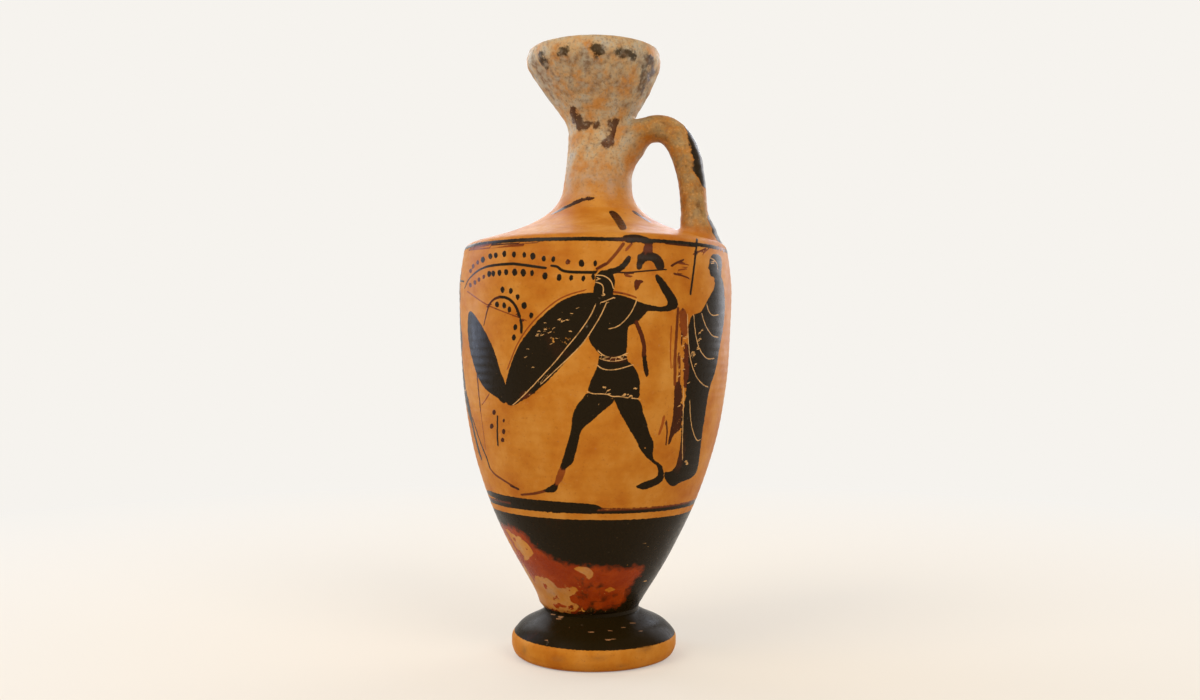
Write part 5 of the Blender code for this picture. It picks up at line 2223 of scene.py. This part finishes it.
@dataclass(frozen=True)
class Studio:
    """A pale floor that curves up to a backdrop, soft lamps and an even sky."""

    turn: float = 13.0
    floor_half: float = 3.0
    wall_at: float = 1.6
    wall_top: float = 2.6
    sweep: float = 0.6
    sweep_steps: int = 16
    floor_colour: str = "#dfd2bc"
    paper_seen: str = "#f6f3ee"
    paper_glow: float = 0.35
    paper_roughness: float = 0.9
    shadow_reach: Point = (0.06, 0.5)
    sky: float = 0.34
    lit_height: float = 0.1
    lamps: tuple[SoftBox, ...] = (
        SoftBox("key_softbox", (-0.70, -0.95, 1.15), (0.9, 0.9), 13.5, "#fff6ec"),
        SoftBox("fill_softbox", (0.95, -0.85, 0.95), (0.8, 0.8), 10.0, "#fff6ec"),
        SoftBox("left_window", (-0.85, 0.18, 0.35), (0.4, 0.9), 5.0, "#c4d9ff"),
        SoftBox("right_window", (0.62, 0.98, 0.45), (0.6, 0.9), 6.5, "#f4f6ff"),
        SoftBox("back_window", (-0.75, 1.05, 0.85), (0.8, 0.8), 6.5, "#f0f5ff"),
        SoftBox("far_window", (-0.10, 1.30, 0.62), (0.5, 0.3), 3.5, "#e6eeff"),
    )

    def floor(self) -> bpy.types.Object:
        """Adds the floor and its backdrop as one swept sheet.

        Returns:
            The sheet.
        """
        bm = bmesh.new()
        half, wall, round_ = self.floor_half, self.wall_at, self.sweep
        bend = [(wall - round_ + round_ * math.sin(a), round_ - round_ * math.cos(a))
                for a in np.linspace(0.0, math.pi / 2, self.sweep_steps + 1)]
        line = [(-half, 0.0), *bend, (wall, self.wall_top)]
        ends = [bm.verts.new((-half, y, z)) for y, z in line]
        edges = [bm.edges.new(pair) for pair in zip(ends, ends[1:])]
        spread = bmesh.ops.extrude_edge_only(bm, edges=edges)["geom"]
        moved = [v for v in spread if isinstance(v, bmesh.types.BMVert)]
        bmesh.ops.translate(bm, verts=moved, vec=(2 * half, 0.0, 0.0))
        bmesh.ops.recalc_face_normals(bm, faces=bm.faces)
        mesh = bpy.data.meshes.new("studio_floor")
        bm.to_mesh(mesh)
        bm.free()
        mesh.shade_smooth()
        floor = bpy.data.objects.new("studio_floor", mesh)
        floor.rotation_euler = (0.0, 0.0, math.radians(self.turn))
        bpy.context.scene.collection.objects.link(floor)
        mesh.materials.append(self.paper())
        return floor

    def paper(self) -> bpy.types.Material:
        """Matt white paper, which a camera or a reflection sees as paler than the lamps make it.

        Returns:
            The new material.
        """
        material = bpy.data.materials.new("matt_backdrop_paper")
        material.use_nodes = True
        tree = material.node_tree
        shader = tree.nodes["Principled BSDF"]
        shader.inputs["Base Color"].default_value = linear(self.floor_colour)
        shader.inputs["Roughness"].default_value = self.paper_roughness
        away = add(tree, "ShaderNodeVectorMath", {0: add(tree, "ShaderNodeTexCoord", out="Object")}, "Value",
                   operation="LENGTH")
        most = add(tree, "ShaderNodeMapRange", {"Value": away, "From Min": self.shadow_reach[0],
                                                "From Max": self.shadow_reach[1], "To Min": self.paper_glow})
        share = add(tree, "ShaderNodeMath", {0: self.seen(tree), 1: most}, operation="MULTIPLY")
        glow = add(tree, "ShaderNodeEmission", {"Color": linear(self.paper_seen)})
        both = add(tree, "ShaderNodeMixShader", {0: share, 1: shader.outputs[0], 2: glow})
        tree.links.new(both, tree.nodes["Material Output"].inputs["Surface"])
        return material

    def seen(self, tree: bpy.types.NodeTree) -> bpy.types.NodeSocket:
        """Tells rays that show a thing from those that light it.

        Args:
            tree: the nodes of a material or of the world.

        Returns:
            One for a ray that shows a thing directly, in a mirror or through glass, or else nought.
        """
        rays = [add(tree, "ShaderNodeLightPath", out=f"Is {kind} Ray") for kind in ("Camera", "Glossy",
                                                                                    "Transmission")]
        either = add(tree, "ShaderNodeMath", {0: rays[0], 1: rays[1]}, operation="MAXIMUM")
        return add(tree, "ShaderNodeMath", {0: either, 1: rays[2]}, operation="MAXIMUM")

    def light(self) -> None:
        """Adds the lamps and an even pale sky."""
        target = Vector((0.0, 0.0, self.lit_height))
        for lamp in self.lamps:
            lamp.light(target)
        world = bpy.data.worlds.new("even_sky")
        world.use_nodes = True
        tree = world.node_tree
        sky = tree.nodes["Background"]
        sky.inputs["Color"].default_value = linear(self.paper_seen)
        strength = add(tree, "ShaderNodeMapRange", {"Value": self.seen(tree), "To Min": self.sky,
                                                    "To Max": 1.0})
        tree.links.new(strength, sky.inputs["Strength"])
        bpy.context.scene.world = world
        bpy.context.scene.view_settings.view_transform = "Standard"


def main() -> None:
    """Builds the vessel, then the stage, the light and the camera."""
    logging.basicConfig(level=logging.INFO, format="%(message)s")
    view = View()
    form = Form()
    foot = Foot()
    shop = Workshop(Side(form, foot, view, Throwing()))
    neck = NeckAndMouth(form)
    foot.build(shop)
    Body(form).build(shop)
    neck.build(shop)
    Joins(form, neck).build(shop)
    Handle(form, neck).build(shop)
    studio = Studio()
    studio.floor()
    studio.light()
    view.camera()


if __name__ == "__main__":
    main()
